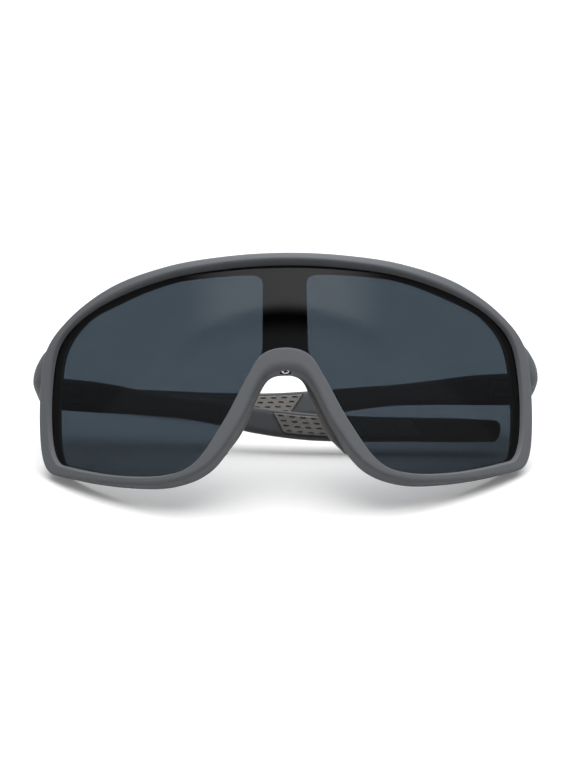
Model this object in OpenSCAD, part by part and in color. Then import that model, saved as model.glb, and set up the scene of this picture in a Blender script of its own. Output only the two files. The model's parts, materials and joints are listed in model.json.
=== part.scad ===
// Shield sunglasses: a one-piece smoke lens in a wrapped full-rim front, an inverted-V
// nose opening with a rubber saddle, and two folding temples with rubber grips.
// They stand as they are put down: temples folded behind, front leaning back.
// Inside the model the front is drawn upright: +X to the wearer's left, +Y to the rear,
// +Z up from the lowest point of the rim. Each node is then leant back onto the table.

/* [Front] */
// Arc length of the front, side to side, along its outer face
front_arc = 161; // [150:1:172]
// Height of the front, upright, from the lowest point of the rim to the brow
front_h = 63.9; // [56:0.2:72]
// Radius of the wrap, seen from above
wrap_r = 92; // [82:1:115]
// Depth of the rim, front to back
rim_depth = 6.4; // [5.4:0.1:8]
// How far the brow stands forward of the sides
brow_proud = 1.8; // [0:0.1:2.6]
// How far the brow's face falls back towards its outer edge
brow_fall = 1; // [0:0.1:1.2]
// Extra rounding of the brow's inner front edge
brow_soft = 0.5; // [0:0.05:0.6]
// Rounding of the rim's outer front edge
rim_round = 1.1; // [0.6:0.05:1.4]
// Rounding of the rim's outer back edge
rim_back_round = 0.9; // [0.4:0.05:1.4]
// Rounding of the small edges beside the lens
rim_lip_round = 0.35; // [0.2:0.05:0.6]
// Slope of the wall between the face of the rim and the lens
rim_wall_slope = 0.55; // [0:0.05:0.9]
// How far the wall behind the lens opens outwards at the sides
rim_open = 2.4; // [0:0.1:2.6]
// Extra rounding along the front of the bridge
bridge_round = 1.5; // [0:0.1:2]

/* [Lens] */
// Lens thickness
lens_t = 1.8; // [1.6:0.1:2.4]
// Depth of the lens behind the face of the rim
lens_recess = 2.3; // [1.5:0.1:3]
// How much nearer the face the lens lies at the sides
lens_rise = 1.2; // [0:0.1:1.4]
// Depth of the groove that holds the lens
groove_d = 1.3; // [0.9:0.1:1.5]
// Clearance around the lens in its groove
groove_clear = 0.15; // [0.05:0.05:0.3]
// Thickness of the black printed mask on the back of the lens
mask_t = 0.15; // [0.1:0.05:0.4]
// Half width of the black centre bar at its top, along the arc
bar_half = 6.3; // [4:0.1:9]
// How much wider the centre bar gets towards the nose
bar_flare = 0.7; // [0:0.1:2]
// Width of the black border along the brow
border_top = 1.9; // [1:0.1:4]
// Width of the black border down the sides
border_side = 0.6; // [0.5:0.1:4]
// Width of the black border along the bottom and the nose
border_low = 0.4; // [0.3:0.1:2]
// Corner radius of the windows beside the centre bar
window_round = 2.8; // [1:0.1:4]

/* [Nose piece] */
// Depth of the nose piece behind the rim
nose_depth = 6; // [4:0.2:8]
// How far its wings stand into the nose opening, beyond the rim
nose_in = 0.7; // [0.4:0.1:1.8]
// How far the nose piece sits off the middle, towards the right
nose_shift = 0.7; // [0:0.1:0.8]
// How far its saddle keeps back from the edge of the arch
saddle_back = 0.5; // [0.2:0.1:1]
// Wall thickness of the nose piece
nose_wall = 2.2; // [1.6:0.1:3]
// How far the wings of the nose piece flare away from the nose
nose_flare = 2.6; // [1.4:0.1:4]
// How far the saddle flares away from the nose
saddle_flare = 1.2; // [0.8:0.1:1.6]
// Diameter of the two pegs that hold the nose piece
nose_peg_d = 1.4; // [1:0.1:1.8]
// Length of those pegs
nose_peg_len = 1.3; // [0.8:0.1:1.5]
// Relief slots along each wing
nose_slots = 3; // [1:1:3]
// Length of a relief slot
nose_slot_len = 2.8; // [2:0.1:3.4]
// Width of a relief slot
nose_slot_w = 0.8; // [0.5:0.1:1.2]
// Depth of a relief slot
nose_slot_d = 0.6; // [0.3:0.1:1]

/* [Bridge screw] */
// Diameter of the screw head
screw_head_d = 2.5; // [2:0.1:2.8]
// Height of the screw head
screw_head_h = 0.8; // [0.6:0.05:1]
// Diameter of the screw shank
screw_shank_d = 1.4; // [1:0.05:1.6]
// Length of the screw below its head
screw_len = 3.6; // [3:0.1:4]
// Diameter of the recess around the screw head
screw_recess_d = 3.2; // [3:0.1:4]
// Outer diameter of the threaded insert
insert_d = 2.4; // [2:0.1:2.8]
// Length of the threaded insert
insert_len = 2.2; // [1.6:0.1:2.4]
// Tilt of the screw from upright, its head turned forward and down
screw_tilt = 25; // [20:1:40]

/* [Hinges] */
// Diameter of the hinge barrel
barrel_d = 2.8; // [2.4:0.1:3.2]
// Height of the middle knuckle
knuckle_mid = 1.8; // [1.4:0.1:2.4]
// Height of each outer knuckle
knuckle_end = 1.6; // [1.2:0.1:2.2]
// Gap between two knuckles
knuckle_gap = 0.06; // [0.03:0.01:0.1]
// Diameter of the hinge screw's shank
pin_d = 1.4; // [1.2:0.05:1.6]
// Radial clearance of the hinge screw in its knuckles
pin_clear = 0.03; // [0.02:0.01:0.08]
// Diameter of the hinge screw's head
pin_head_d = 2.3; // [2:0.1:2.6]
// Height of the hinge screw's head
pin_head_h = 0.7; // [0.5:0.05:1]
// Thickness of the hinge leaves
leaf_t = 0.9; // [0.7:0.05:1.2]
// Length of the leaf on the front, from the pin
leaf_front_len = 6.4; // [5.6:0.1:7]
// Length of the leaf on the temple, from the pin
leaf_temple_len = 8.6; // [7:0.1:11]
// Rivet diameter
rivet_d = 1.1; // [0.8:0.05:1.2]
// Rivet length, through the leaf into the plastic
rivet_len = 2.6; // [2:0.1:2.8]
// How far the pin stands inside the inner faces of lug and temple
pin_inset = 0.6; // [0.4:0.05:0.9]
// Clearance around the barrel and the ends of the leaves
hinge_clear = 0.15; // [0.08:0.01:0.25]
// Length of the lug behind the widest point of the rim
lug_len = 10; // [9:0.2:12]
// How far the lugs stand out beyond the rim
lug_out = 2.3; // [1.5:0.1:3]
// Height of the lug where it leaves the rim
lug_h = 13; // [11:0.2:14]

/* [Temples] */
// Length of a temple from the hinge pin to the tip
temple_len = 130; // [120:1:138]
// Height of a temple at the hinge
temple_h = 10; // [9:0.1:11]
// Thickness of a temple
temple_t = 4.2; // [3.6:0.1:5]
// Fall of the temple's middle line from hinge to tip
temple_drop = 5.6; // [4:0.1:6]
// Play between the end face of a temple and its lug when open
butt_gap = 0.1; // [0.05:0.01:0.2]
// Length of the rubber grip
grip_len = 40; // [30:1:46]
// Distance of the grip's near end from the hinge pin
grip_start = 66; // [60:0.5:70]
// Slant of the grip's ends, along its length
grip_slant = 3.4; // [2:0.1:5]
// Depth that the grip is let into the temple
grip_sink = 1; // [0.6:0.1:1.5]
// How far the grip stands out of the temple
grip_proud = 0.35; // [0.2:0.05:0.5]
// Length of one dash slot in the grip
dash_len = 1.7; // [1.2:0.1:2.2]
// Width of one dash slot
dash_w = 0.5; // [0.35:0.05:0.7]
// Depth of one dash slot
dash_d = 0.45; // [0.3:0.05:0.8]
// Distance from dash to dash along a row
dash_pitch = 3.2; // [2.8:0.1:5]
// Rows of dashes
dash_rows = 4; // [2:1:4]

/* [Folding] */
// Tilt of the left hinge pin, so that the folded left temple lies above the right
cant_left = 5; // [4.8:0.1:5.6]
// Tilt of the right hinge pin, so that the folded right temple lies below the left
cant_right = 4; // [3.8:0.1:4.6]
// Angle that the left temple turns from open to folded
fold_angle_left = 77.1; // [74:0.1:78]
// Angle that the right temple turns from open to folded
fold_angle_right = 91.5; // [90:0.5:93]
// Angle that the front leans back when the folded glasses stand on a table
lean = 37; // [34:0.1:40]

/* [Hidden] */

// How far a cut runs past the surface that it opens
over = 0.5;
// Half of the front's arc, and the turn of the wrap for each millimetre of arc
half_arc = front_arc / 2;
turn_per_arc = 180 / (PI * wrap_r);

// Half outlines of the rim, from the middle of the brow round the side to the middle of
// the nose, each point a share of half_arc across and of front_h up
outer_shares = [
    [0, 1], [0.211, 0.995], [0.422, 0.98], [0.655, 0.933], [0.849, 0.836], [0.971, 0.715],
    [1, 0.532], [0.994, 0.306], [0.952, 0.161], [0.845, 0.099], [0.621, 0.026],
    [0.422, 0], [0.273, 0.058], [0.165, 0.227], [0.099, 0.391], [0.058, 0.455], [0, 0.469]];
inner_shares = [
    [0, 0.953], [0.211, 0.946], [0.424, 0.926], [0.640, 0.874], [0.801, 0.805], [0.902, 0.705],
    [0.936, 0.524], [0.931, 0.313], [0.896, 0.19], [0.819, 0.141], [0.615, 0.068],
    [0.435, 0.042], [0.323, 0.081], [0.223, 0.248], [0.138, 0.445], [0.083, 0.548], [0, 0.578]];

// Points worked out between two outline points, and stations on a half outline
fine = 5;
half_count = (len(outer_shares) - 1) * fine;
ring_count = 2 * half_count;

// Smooth curve through b and c, with a before them and d after, at share t of the way
function curve_at(a, b, c, d, t) =
    (2 * b + (c - a) * t + (2 * a - 5 * b + 4 * c - d) * t * t
     + (3 * b - a - 3 * c + d) * t * t * t) / 2;

// Point of a half outline at a station, in real sizes; it is level where it crosses the middle
function flip(p) = [-p[0], p[1]];
function share_point(shares, i) =
    i < 0 ? flip(shares[1])
    : i >= len(shares) ? flip(shares[len(shares) - 2])
    : shares[i];
function outline_point(shares, station) =
    let (k = min(floor(station / fine), len(shares) - 2),
         p = curve_at(share_point(shares, k - 1), share_point(shares, k),
                      share_point(shares, k + 1), share_point(shares, k + 2),
                      station / fine - k))
    [p[0] * half_arc, p[1] * front_h];
outer_half = [for (i = [0:half_count]) outline_point(outer_shares, i)];
inner_half = [for (i = [0:half_count]) outline_point(inner_shares, i)];

// The same round the whole rim: the second half is the first one seen in a mirror
function ring_point(half, i) = i <= half_count ? half[i] : flip(half[ring_count - i]);

// A place on the wrapped front: u along the arc, z up, n out of the face
function wrap(u, z, n) =
    let (turn = u * turn_per_arc)
    [(wrap_r + n) * sin(turn), wrap_r - (wrap_r + n) * cos(turn), z];
function wrap_point(p, n) = wrap(p[0], p[1], n);

// Eases from 0 to 1
function ease(x) = let (t = max(0, min(1, x))) t * t * (3 - 2 * t);

// The brow starts at this share of the height and is fully formed this share further up. Its
// face stands proud, the less so towards the sides, out to this share of half_arc
brow_from_share = 0.6;
brow_over_share = 0.35;
proud_side_share = 0.75;
function brow_at(p) = ease((p[1] / front_h - brow_from_share) / brow_over_share);
function proud(p) =
    brow_proud * brow_at(p) * (1 - ease(abs(p[0]) / (proud_side_share * half_arc)));

// The lens is a little flatter than the wrap, so it lies nearer the face at the sides
function lens_shift(u) = lens_rise * pow(u / half_arc, 2);

// The bridge is the part of the rim this share of half_arc from the middle, under the lens
bridge_share = 0.15;
bridge_top_share = 0.6;
function bridge_at(p) =
    p[1] > bridge_top_share * front_h ? 0 : ease(1 - abs(p[0]) / (bridge_share * half_arc));

// Section of the rim at one station: steps from the lens edge outwards, and out of the face.
// Its front falls back by fall towards its outer edge, and soft rounds its inner edge
arc_share = 0.29;
open_from_share = 0.5;
open_over_share = 0.3;
function open_at(p, out) =
    rim_open * out[0] * out[0] * ease((abs(p[0]) / half_arc - open_from_share) / open_over_share);
function rim_section(width, face, fall, soft, edge, shift, open) =
    let (back = -rim_depth, lip = rim_lip_round, wall = rim_wall_slope,
         r = edge, b = rim_back_round, slope = fall / (width - wall), low = face - fall,
         groove_front = shift + groove_clear - lens_recess,
         groove_back = shift - lens_recess - lens_t - groove_clear)
    [[0, groove_front], [wall, face - soft], [wall + soft, face - soft * slope],
     [width - r, low + r * slope], [width - arc_share * r, low - arc_share * r * (1 - slope)],
     [width, low - r],
     [width, back + b], [width - arc_share * b, back + arc_share * b], [width - b, back],
     [open + lip, back], [open, back + lip], [0, groove_back],
     [groove_d, groove_back], [groove_d, groove_front]];

function rim_ring(i) =
    let (a = ring_point(inner_half, i), c = ring_point(outer_half, i),
         width = norm(c - a), out = (c - a) / width,
         face = proud(c), fall = brow_fall * brow_at(c),
         soft = rim_lip_round + brow_soft * brow_at(c),
         edge = rim_round + bridge_round * bridge_at(c))
    [for (s = rim_section(width, face, fall, soft, edge, lens_shift(a[0]), open_at(a, out)))
        wrap_point(a + s[0] * out, s[1])];
rim_rings = [for (i = [0:ring_count - 1]) rim_ring(i)];

// Triangles round a closed loop of rings, or along a run of rings with its two ends closed
function skin_faces(rings, count, closed) =
    [for (i = [0:rings - (closed ? 1 : 2)], j = [0:count - 1])
        let (a = i * count, b = ((i + 1) % rings) * count, k = (j + 1) % count)
        each [[a + j, b + k, b + j], [a + j, a + k, b + k]]];
function end_faces(rings, count) =
    let (last = (rings - 1) * count)
    [for (j = [1:count - 2]) each [[0, j + 1, j], [last, last + j, last + j + 1]]];
function joined(rings) = [for (r = rings) each r];

// Solid through a run of rings, whose points run anticlockwise as seen along the run
module run_of(rings) {
    count = len(rings[0]);
    polyhedron(joined(rings),
        concat(skin_faces(len(rings), count, false), end_faces(len(rings), count)));
}

// Widest point of the rim, where the lugs start
rim_side = wrap(half_arc, 0, 0);
rim_side_x = rim_side[0];
rim_side_y = rim_side[1];
hinge_share = 0.5715;
hinge_z = hinge_share * front_h;

// Hinge pin of the left side; the right one is its mirror image
lug_end_share = 0.8;
hinge_x = rim_side_x + lug_end_share * lug_out - temple_t - pin_inset;
hinge_y = rim_side_y + lug_len;
inner_face = pin_inset;
outer_face = pin_inset + temple_t;

// Section of a lug or a temple, flat on its inner side. Half of it, from the outermost point
// to the inner side: share of the thickness, and share of the way to the upper or lower edge
// for a smooth crown and for a sharp ridge
side_shares = [[1, 0, 0], [0.97, 0.5, 0.12], [0.85, 0.82, 0.36], [0.6, 0.97, 0.66],
               [0.22, 1, 0.93], [0.07, 0.96, 0.97], [0, 0.84, 0.84]];
function side_point(s, edge, sharp, ridge) =
    let (way = s[1] + sharp * (s[2] - s[1])) [s[0], edge * way + ridge * (1 - way)];
function bar_section(sharp, ridge) =
    [for (i = [len(side_shares) - 1:-1:1]) side_point(side_shares[i], -1, sharp, ridge),
     for (s = side_shares) side_point(s, 1, sharp, ridge)];

// Turn of a lug's section about the hinge, as seen from behind
function canted(p, cant) =
    let (x = p[0] - hinge_x, z = p[2] - hinge_z)
    [hinge_x + x * cos(cant) + z * sin(cant), p[1], hinge_z - x * sin(cant) + z * cos(cant)];

// Stations of a lug, front to back: share of lug_len, inner face in from the rim's side as
// a share of rim_depth, outer face out from it as a share of lug_out, middle's height above
// the hinge and half height as shares of lug_h, share of the cant, ridge's height above the
// middle as a share of the half height
lug_shares = [
    [0.06, 0.44, -0.50, 0.30, 0.35, 0, -0.25], [0.20, 0.57, 0.30, 0.37, 0.52, 0, -0.32],
    [0.38, 0.70, 0.83, 0.33, 0.55, 0, -0.30], [0.60, 0.47, 1.00, 0.24, 0.51, 0, -0.15],
    [0.80, 0.36, 0.92, 0.11, 0.45, 0.7, 0.12]];
lug_sharp_share = 0.7;
butt_ridge_share = 0.4;
function lug_ring(y, x_in, x_out, z_mid, half_h, cant, ridge) =
    [for (s = bar_section(lug_sharp_share, ridge))
        canted([x_in + s[0] * (x_out - x_in), y, z_mid + s[1] * half_h], cant)];
function lug_rings(cant) = concat(
    [for (s = lug_shares)
        lug_ring(rim_side_y + s[0] * lug_len, rim_side_x - s[1] * rim_depth,
                 rim_side_x + s[2] * lug_out, hinge_z + s[3] * lug_h, s[4] * lug_h,
                 s[5] * cant, s[6])],
    [lug_ring(hinge_y, hinge_x + inner_face, hinge_x + outer_face, hinge_z, temple_h / 2, cant,
              butt_ridge_share)]);

// Hinge sizes, from the pin's middle
barrel_r = barrel_d / 2;
stack_h = knuckle_mid + 2 * (knuckle_end + knuckle_gap);
notch_low = -stack_h / 2 - hinge_clear;
notch_high = stack_h / 2 + pin_head_h + hinge_clear;
// Rivet places: share of the leaf's length, and share of half the stack's height
front_rivet_shares = [[0.7, -0.55], [0.7, 0.55]];
temple_rivet_shares = [[0.4, 0], [0.78, 0]];
rivet_head_h = leaf_t / 3;
rivet_head_d = rivet_d * 1.5;
fit = pin_clear;

// Places a piece of the left side on its hinge; a temple's pieces are also folded in
module on_left(fold) {
    translate([hinge_x, hinge_y, hinge_z]) rotate([0, cant_left, 0]) rotate([0, 0, fold])
        children();
}
module on_right(fold) {
    mirror([1, 0, 0]) translate([hinge_x, hinge_y, hinge_z]) rotate([0, -cant_right, 0])
        rotate([0, 0, fold]) children();
}

// The stance on a table: lowest and outermost points of the leant rim and of the folded
// left temple's tip, from the outlines
function leant_point(p) = [p[0], p[1] * cos(lean) + p[2] * sin(lean),
                           p[2] * cos(lean) - p[1] * sin(lean)];
rim_leant = [for (p = joined(rim_rings)) leant_point(p)];
low_z = min([for (p = rim_leant) p[2]]);
front_y = min([for (p = rim_leant) p[1]]);

// Middle line of a temple: share of its length, share of temple_drop below the hinge,
// height and thickness as shares of temple_h and temple_t
temple_shares = [
    [0, 0, 1.00, 1], [0.11, 0.09, 0.92, 0.98], [0.20, 0.22, 0.74, 0.93], [0.29, 0.37, 0.61, 0.88],
    [0.37, 0.56, 0.66, 0.85], [0.47, 0.86, 0.76, 0.84], [0.58, 1.05, 0.78, 0.84],
    [0.70, 1.03, 0.74, 0.84], [0.81, 0.93, 0.70, 0.80], [0.92, 0.84, 0.69, 0.74],
    [1, 0.79, 0.63, 0.66]];
// The ridge of the lug runs on into the temple and fades out over this share of its length
ridge_fade_share = 0.3;
temple_fine = 4;
temple_count = (len(temple_shares) - 1) * temple_fine;
function temple_share(i) =
    let (last = len(temple_shares) - 1)
    i < 0 ? 2 * temple_shares[0] - temple_shares[1]
    : i > last ? 2 * temple_shares[last] - temple_shares[last - 1]
    : temple_shares[i];
function temple_at(station) =
    let (k = min(floor(station / temple_fine), len(temple_shares) - 2))
    curve_at(temple_share(k - 1), temple_share(k), temple_share(k + 1), temple_share(k + 2),
             station / temple_fine - k);

// The tip is rounded over its last stretch: distance from the end and share of the size
tip_round_shares = [[1.0, 0.30], [0.86, 0.64], [0.5, 0.88], [0.1, 0.98]];
tip_len = temple_h * 0.22;
function temple_ring(y, s, size) =
    let (t = temple_t * s[3], mid = -temple_drop * s[1] + (1 - size) * temple_h * s[2] * 0.18,
         half_h = temple_h * s[2] * size / 2, inset = (1 - size) * t / 3,
         fade = 1 - ease(s[0] / ridge_fade_share))
    [for (b = bar_section(lug_sharp_share * fade, butt_ridge_share * fade))
        [inner_face + inset + b[0] * (t - 2 * inset), y, mid + b[1] * half_h]];
temple_rings = concat(
    [for (i = [0:temple_count - 1])
        let (s = temple_at(i))
        temple_ring(butt_gap + s[0] * (temple_len - butt_gap - tip_len), s, 1)],
    [for (k = [len(tip_round_shares) - 1:-1:0])
        let (r = tip_round_shares[k])
        temple_ring(temple_len - tip_len * (1 - r[0]), temple_shares[len(temple_shares) - 1],
                    r[1])]);

// A point of the left temple, from its own place on the hinge to the upright front
function turned(p, angle) = [p[0] * cos(angle) - p[1] * sin(angle),
                             p[0] * sin(angle) + p[1] * cos(angle), p[2]];
function folded_point(p) =
    let (q = turned(p, fold_angle_left))
    [hinge_x + q[0] * cos(cant_left) + q[2] * sin(cant_left), hinge_y + q[1],
     hinge_z - q[0] * sin(cant_left) + q[2] * cos(cant_left)];
temple_leant = [for (p = joined(temple_rings)) leant_point(folded_point(p))];
back_y = max([for (p = temple_leant) p[1]]);
table_z = min(low_z, min([for (p = temple_leant) p[2]]));
stand_y = -(front_y + back_y) / 2;
stand_z = -table_z;
module stand() { translate([0, stand_y, stand_z]) rotate([-lean, 0, 0]) children(); }

// Edge of the lens or the mask: its top and bottom height at each station of its lower edge
edge_share = 0.9985;
function edge_half(margin) =
    [for (i = [0:half_count])
        let (a = inner_half[i], c = outer_half[i]) a + margin * (c - a) / norm(c - a)];
function edge_columns(edge) =
    let (across = [for (p = edge) p[0]], widest = max(across),
         turn_i = search(widest, across)[0],
         top = [for (i = [0:turn_i]) edge[i]],
         low = [for (i = [len(edge) - 1:-1:turn_i]) edge[i]],
         last = len(low) - 1)
    [for (k = [-last:last])
        let (u = min(low[abs(k)][0], edge_share * widest))
        [sign(k) * u, lookup(u, top), lookup(u, low)]];
module wrapped_sheet(margin, front, back) {
    run_of([for (c = edge_columns(edge_half(margin)))
        let (shift = lens_shift(c[0]))
        [wrap(c[0], c[2], front + shift), wrap(c[0], c[1], front + shift),
         wrap(c[0], c[1], back + shift), wrap(c[0], c[2], back + shift)]]);
}

// Window of the mask: the lens opening less a border, on one side of the centre bar
lens_back = -lens_recess - lens_t;
function border_at(i) =
    lookup(i / half_count, [[0, border_top], [0.06, border_top], [0.125, border_side],
                            [0.47, border_side], [0.54, border_low], [1, border_low]]);
window_points = [for (i = [0:half_count])
    let (a = inner_half[i], c = outer_half[i],
         p = a - border_at(i) * (c - a) / norm(c - a),
         q = wrap_point(p, lens_back + lens_shift(p[0])))
    [q[0], q[2]]];
module window_shape() {
    offset(r = window_round, $fn = 24) offset(delta = -window_round)
        intersection() {
            polygon(window_points);
            polygon([[bar_half, front_h], [bar_half + bar_flare, 0],
                     [half_arc, 0], [half_arc, front_h]]);
        }
}
module on_side(side) { mirror([side < 0 ? 1 : 0, 0, 0]) children(); }
module window_cut(side) {
    on_side(side) rotate([90, 0, 0])
        translate([0, 0, -wrap_r]) linear_extrude(2 * wrap_r) window_shape();
}

// Screw in the bridge: its head sits in a recess at the rounded front of the arch
arch_z = outer_half[half_count][1];
screw_y = (rim_round + bridge_round) * 1.1;
screw_z = arch_z + rim_lip_round * 0.6;
module on_screw() { translate([0, screw_y, screw_z]) rotate([-screw_tilt, 0, 0]) children(); }
slot_turn = 20;
head_low = rim_lip_round;
head_seat = head_low + screw_head_h;

// Nose piece, along the rim's stations round the nose opening
nose_from_share = 0.785;
nose_from = round(nose_from_share * half_count);
nose_end_share = 0.3;
nose_end_rings = 3;
function nose_reach(side) = nose_in + side * nose_shift;
function nose_section(depth, in, flare, size) =
    let (back = -rim_depth - fit, mid = [-nose_wall / 2, back - depth / 2])
    [for (s = [[in - nose_in * 0.3, back], [in, back - depth * 0.2],
               [in - nose_in * 0.45 - flare * 0.4, back - depth * 0.55],
               [-flare, back - depth * 0.94], [-nose_wall * 0.6 - flare, back - depth],
               [-nose_wall - flare, back - depth * 0.88],
               [-nose_wall - flare * 0.35, back - depth * 0.45], [-nose_wall, back]])
        [mid[0] + (s[0] - mid[0]) * size, s[1]]];
function nose_ring(i) =
    let (a = ring_point(inner_half, i), c = ring_point(outer_half, i),
         out = (c - a) / norm(c - a), from_end = min(i - nose_from, ring_count - nose_from - i),
         wing = ease(abs(i - half_count) / (half_count - nose_from) * 1.2),
         size = nose_end_share + (1 - nose_end_share) * ease((from_end + 1) / nose_end_rings),
         depth = nose_depth * (0.6 + 0.4 * wing) * (0.6 + 0.4 * size),
         in = nose_reach(i < half_count ? 1 : -1) * wing - saddle_back * (1 - wing),
         flare = nose_flare * wing + saddle_flare * (1 - wing))
    [for (s = nose_section(depth, in, flare, size)) wrap_point(c + s[0] * out, s[1])];
nose_rings = [for (i = [nose_from:ring_count - nose_from]) nose_ring(i)];

// Place on a wing of the nose piece, at the rim's back face: its Y runs towards the nose
// and its Z to the rear
module on_wing(station, side) {
    a = inner_half[station];
    c = outer_half[station];
    out = (c - a) / norm(c - a);
    on_side(side) translate(wrap_point(c, -rim_depth)) rotate([0, 0, c[0] * turn_per_arc])
        rotate([-90, 0, 0]) rotate([0, 0, atan2(-out[0], -out[1])]) children();
}
peg_share = 0.885;
module nose_pegs(d, len) {
    for (side = [-1, 1]) on_wing(round(peg_share * half_count), side)
        translate([0, -nose_wall * 0.65, -len]) cylinder(h = len + over, d = d, $fn = 32);
}

// Relief slots, let into the side that meets the nose
slot_shares = [0.868, 0.836, 0.804];
module nose_slot(side) {
    face = nose_reach(side) - (nose_in + nose_flare) * 0.25;
    translate([0, face, nose_depth * 0.4]) rotate([-90, 0, 0])
        translate([0, 0, -nose_slot_d]) linear_extrude(nose_slot_d + nose_wall) {
            square([nose_slot_len - nose_slot_w, nose_slot_w], center = true);
            for (end = [-1, 1])
                translate([end * (nose_slot_len - nose_slot_w) / 2, 0])
                    circle(d = nose_slot_w, $fn = 24);
        }
}

// Cuts that a hinge needs in a lug or a temple: round the barrel, for the leaf, for rivets
module barrel_cut() {
    translate([0, 0, notch_low])
        cylinder(h = notch_high - notch_low, r = barrel_r + hinge_clear, $fn = 48);
}
module leaf_cut(from, to) {
    translate([-barrel_r, from, -stack_h / 2 - hinge_clear])
        cube([barrel_r + inner_face + leaf_t + fit, to - from, stack_h + 2 * hinge_clear]);
}
module rivets(shares, length, d) {
    for (s = shares)
        translate([inner_face, s[0] * length, s[1] * stack_h / 2]) rotate([0, 90, 0])
            cylinder(h = rivet_len, d = d, $fn = 32);
}

module front_frame() {
    color("slategray") stand() difference() {
        union() {
            polyhedron(joined(rim_rings), skin_faces(ring_count, len(rim_rings[0]), true));
            run_of(lug_rings(cant_left));
            mirror([1, 0, 0]) run_of(lug_rings(-cant_right));
        }
        on_left(0) front_hinge_cuts();
        on_right(0) front_hinge_cuts();
        on_screw() {
            cylinder(h = head_seat, d = screw_recess_d, $fn = 48);
            translate([0, 0, -barrel_d]) cylinder(h = barrel_d + over, d = screw_recess_d, $fn = 48);
            cylinder(h = head_seat + insert_len, d = insert_d, $fn = 48);
            cylinder(h = head_low + screw_head_h + screw_len + fit, r = screw_shank_d / 2 + fit, $fn = 32);
        }
        nose_pegs(nose_peg_d + 2 * fit, nose_peg_len + fit);
    }
}
module front_hinge_cuts() {
    barrel_cut();
    leaf_cut(-leaf_front_len - hinge_clear, over);
    rivets(front_rivet_shares, -leaf_front_len, rivet_d + 2 * fit);
}

module lens() {
    color([0.2, 0.22, 0.25, 0.8]) stand()
        wrapped_sheet(groove_d - groove_clear, -lens_recess, lens_back);
}

module lens_mask() {
    color("black") stand() difference() {
        wrapped_sheet(-groove_clear, lens_back - fit, lens_back - fit - mask_t);
        window_cut(1);
        window_cut(-1);
    }
}

module nose_piece() {
    color("dimgray") stand() difference() {
        union() {
            run_of(nose_rings);
            nose_pegs(nose_peg_d, nose_peg_len);
        }
        for (side = [-1, 1], i = [0:nose_slots - 1])
            on_wing(round(slot_shares[i] * half_count), side) nose_slot(side);
    }
}

module bridge_screw() {
    color("silver") stand() on_screw() difference() {
        translate([0, 0, head_low]) {
            cylinder(h = screw_head_h, d = screw_head_d, $fn = 48);
            cylinder(h = screw_head_h + screw_len, d = screw_shank_d, $fn = 32);
        }
        for (turn = [slot_turn, slot_turn + 90]) rotate([0, 0, turn])
            translate([-screw_head_d * 0.3, -screw_head_d * 0.1, head_low - over])
                cube([screw_head_d * 0.6, screw_head_d * 0.2, over + screw_head_h * 0.7]);
    }
}

module bridge_insert() {
    color("gold") stand() on_screw() translate([0, 0, head_seat]) difference() {
        cylinder(h = insert_len, d = insert_d - 2 * fit, $fn = 48);
        translate([0, 0, -over])
            cylinder(h = insert_len + 2 * over, r = screw_shank_d / 2 + fit, $fn = 32);
    }
}

// Hinge pieces, drawn on the left side's hinge
knuckle_low = knuckle_mid / 2 + knuckle_gap;
module knuckle(low, high) {
    translate([0, 0, low]) cylinder(h = high - low, r = barrel_r, $fn = 48);
}
module pin_bore() {
    translate([0, 0, -stack_h]) cylinder(h = 2 * stack_h, r = pin_d / 2 + pin_clear, $fn = 32);
}
module leaf_plate(from, to) {
    translate([inner_face, from, -stack_h / 2]) cube([leaf_t, to - from, stack_h]);
}
module knuckle_room(low, high) {
    translate([0, 0, low]) cylinder(h = high - low, r = barrel_r + hinge_clear, $fn = 48);
}
module front_leaf() {
    difference() {
        union() {
            difference() {
                leaf_plate(-leaf_front_len, 0);
                knuckle_room(-knuckle_low, knuckle_low);
            }
            knuckle(-stack_h / 2, -knuckle_low);
            knuckle(knuckle_low, stack_h / 2);
        }
        pin_bore();
        rivets(front_rivet_shares, -leaf_front_len, rivet_d + 2 * fit);
    }
}
module temple_leaf() {
    difference() {
        union() {
            difference() {
                leaf_plate(0, leaf_temple_len);
                knuckle_room(-stack_h / 2 - over, -knuckle_mid / 2);
                knuckle_room(knuckle_mid / 2, stack_h / 2 + over);
            }
            knuckle(-knuckle_mid / 2, knuckle_mid / 2);
        }
        pin_bore();
        rivets(temple_rivet_shares, leaf_temple_len, rivet_d + 2 * fit);
    }
}
module hinge_screw() {
    difference() {
        union() {
            translate([0, 0, -stack_h / 2]) cylinder(h = stack_h + over, r = pin_d / 2, $fn = 32);
            translate([0, 0, stack_h / 2]) cylinder(h = pin_head_h, d = pin_head_d, $fn = 48);
        }
        translate([-pin_head_d, -pin_head_d * 0.1, stack_h / 2 + pin_head_h * 0.6])
            cube([2 * pin_head_d, pin_head_d * 0.2, pin_head_h]);
    }
}
module rivet_set(shares, length) {
    rivets(shares, length, rivet_d);
    for (s = shares)
        translate([inner_face - rivet_head_h, s[0] * length, s[1] * stack_h / 2])
            rotate([0, 90, 0]) cylinder(h = rivet_head_h, d = rivet_head_d, $fn = 32);
}

module front_hinge_leaf_right() { color("silver") stand() on_right(0) front_leaf(); }
module front_hinge_leaf_left() { color("silver") stand() on_left(0) front_leaf(); }
module front_hinge_rivets_right() {
    color("silver") stand() on_right(0) rivet_set(front_rivet_shares, -leaf_front_len);
}
module front_hinge_rivets_left() {
    color("silver") stand() on_left(0) rivet_set(front_rivet_shares, -leaf_front_len);
}
module hinge_screw_right() { color("silver") stand() on_right(0) hinge_screw(); }
module hinge_screw_left() { color("silver") stand() on_left(0) hinge_screw(); }

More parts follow.
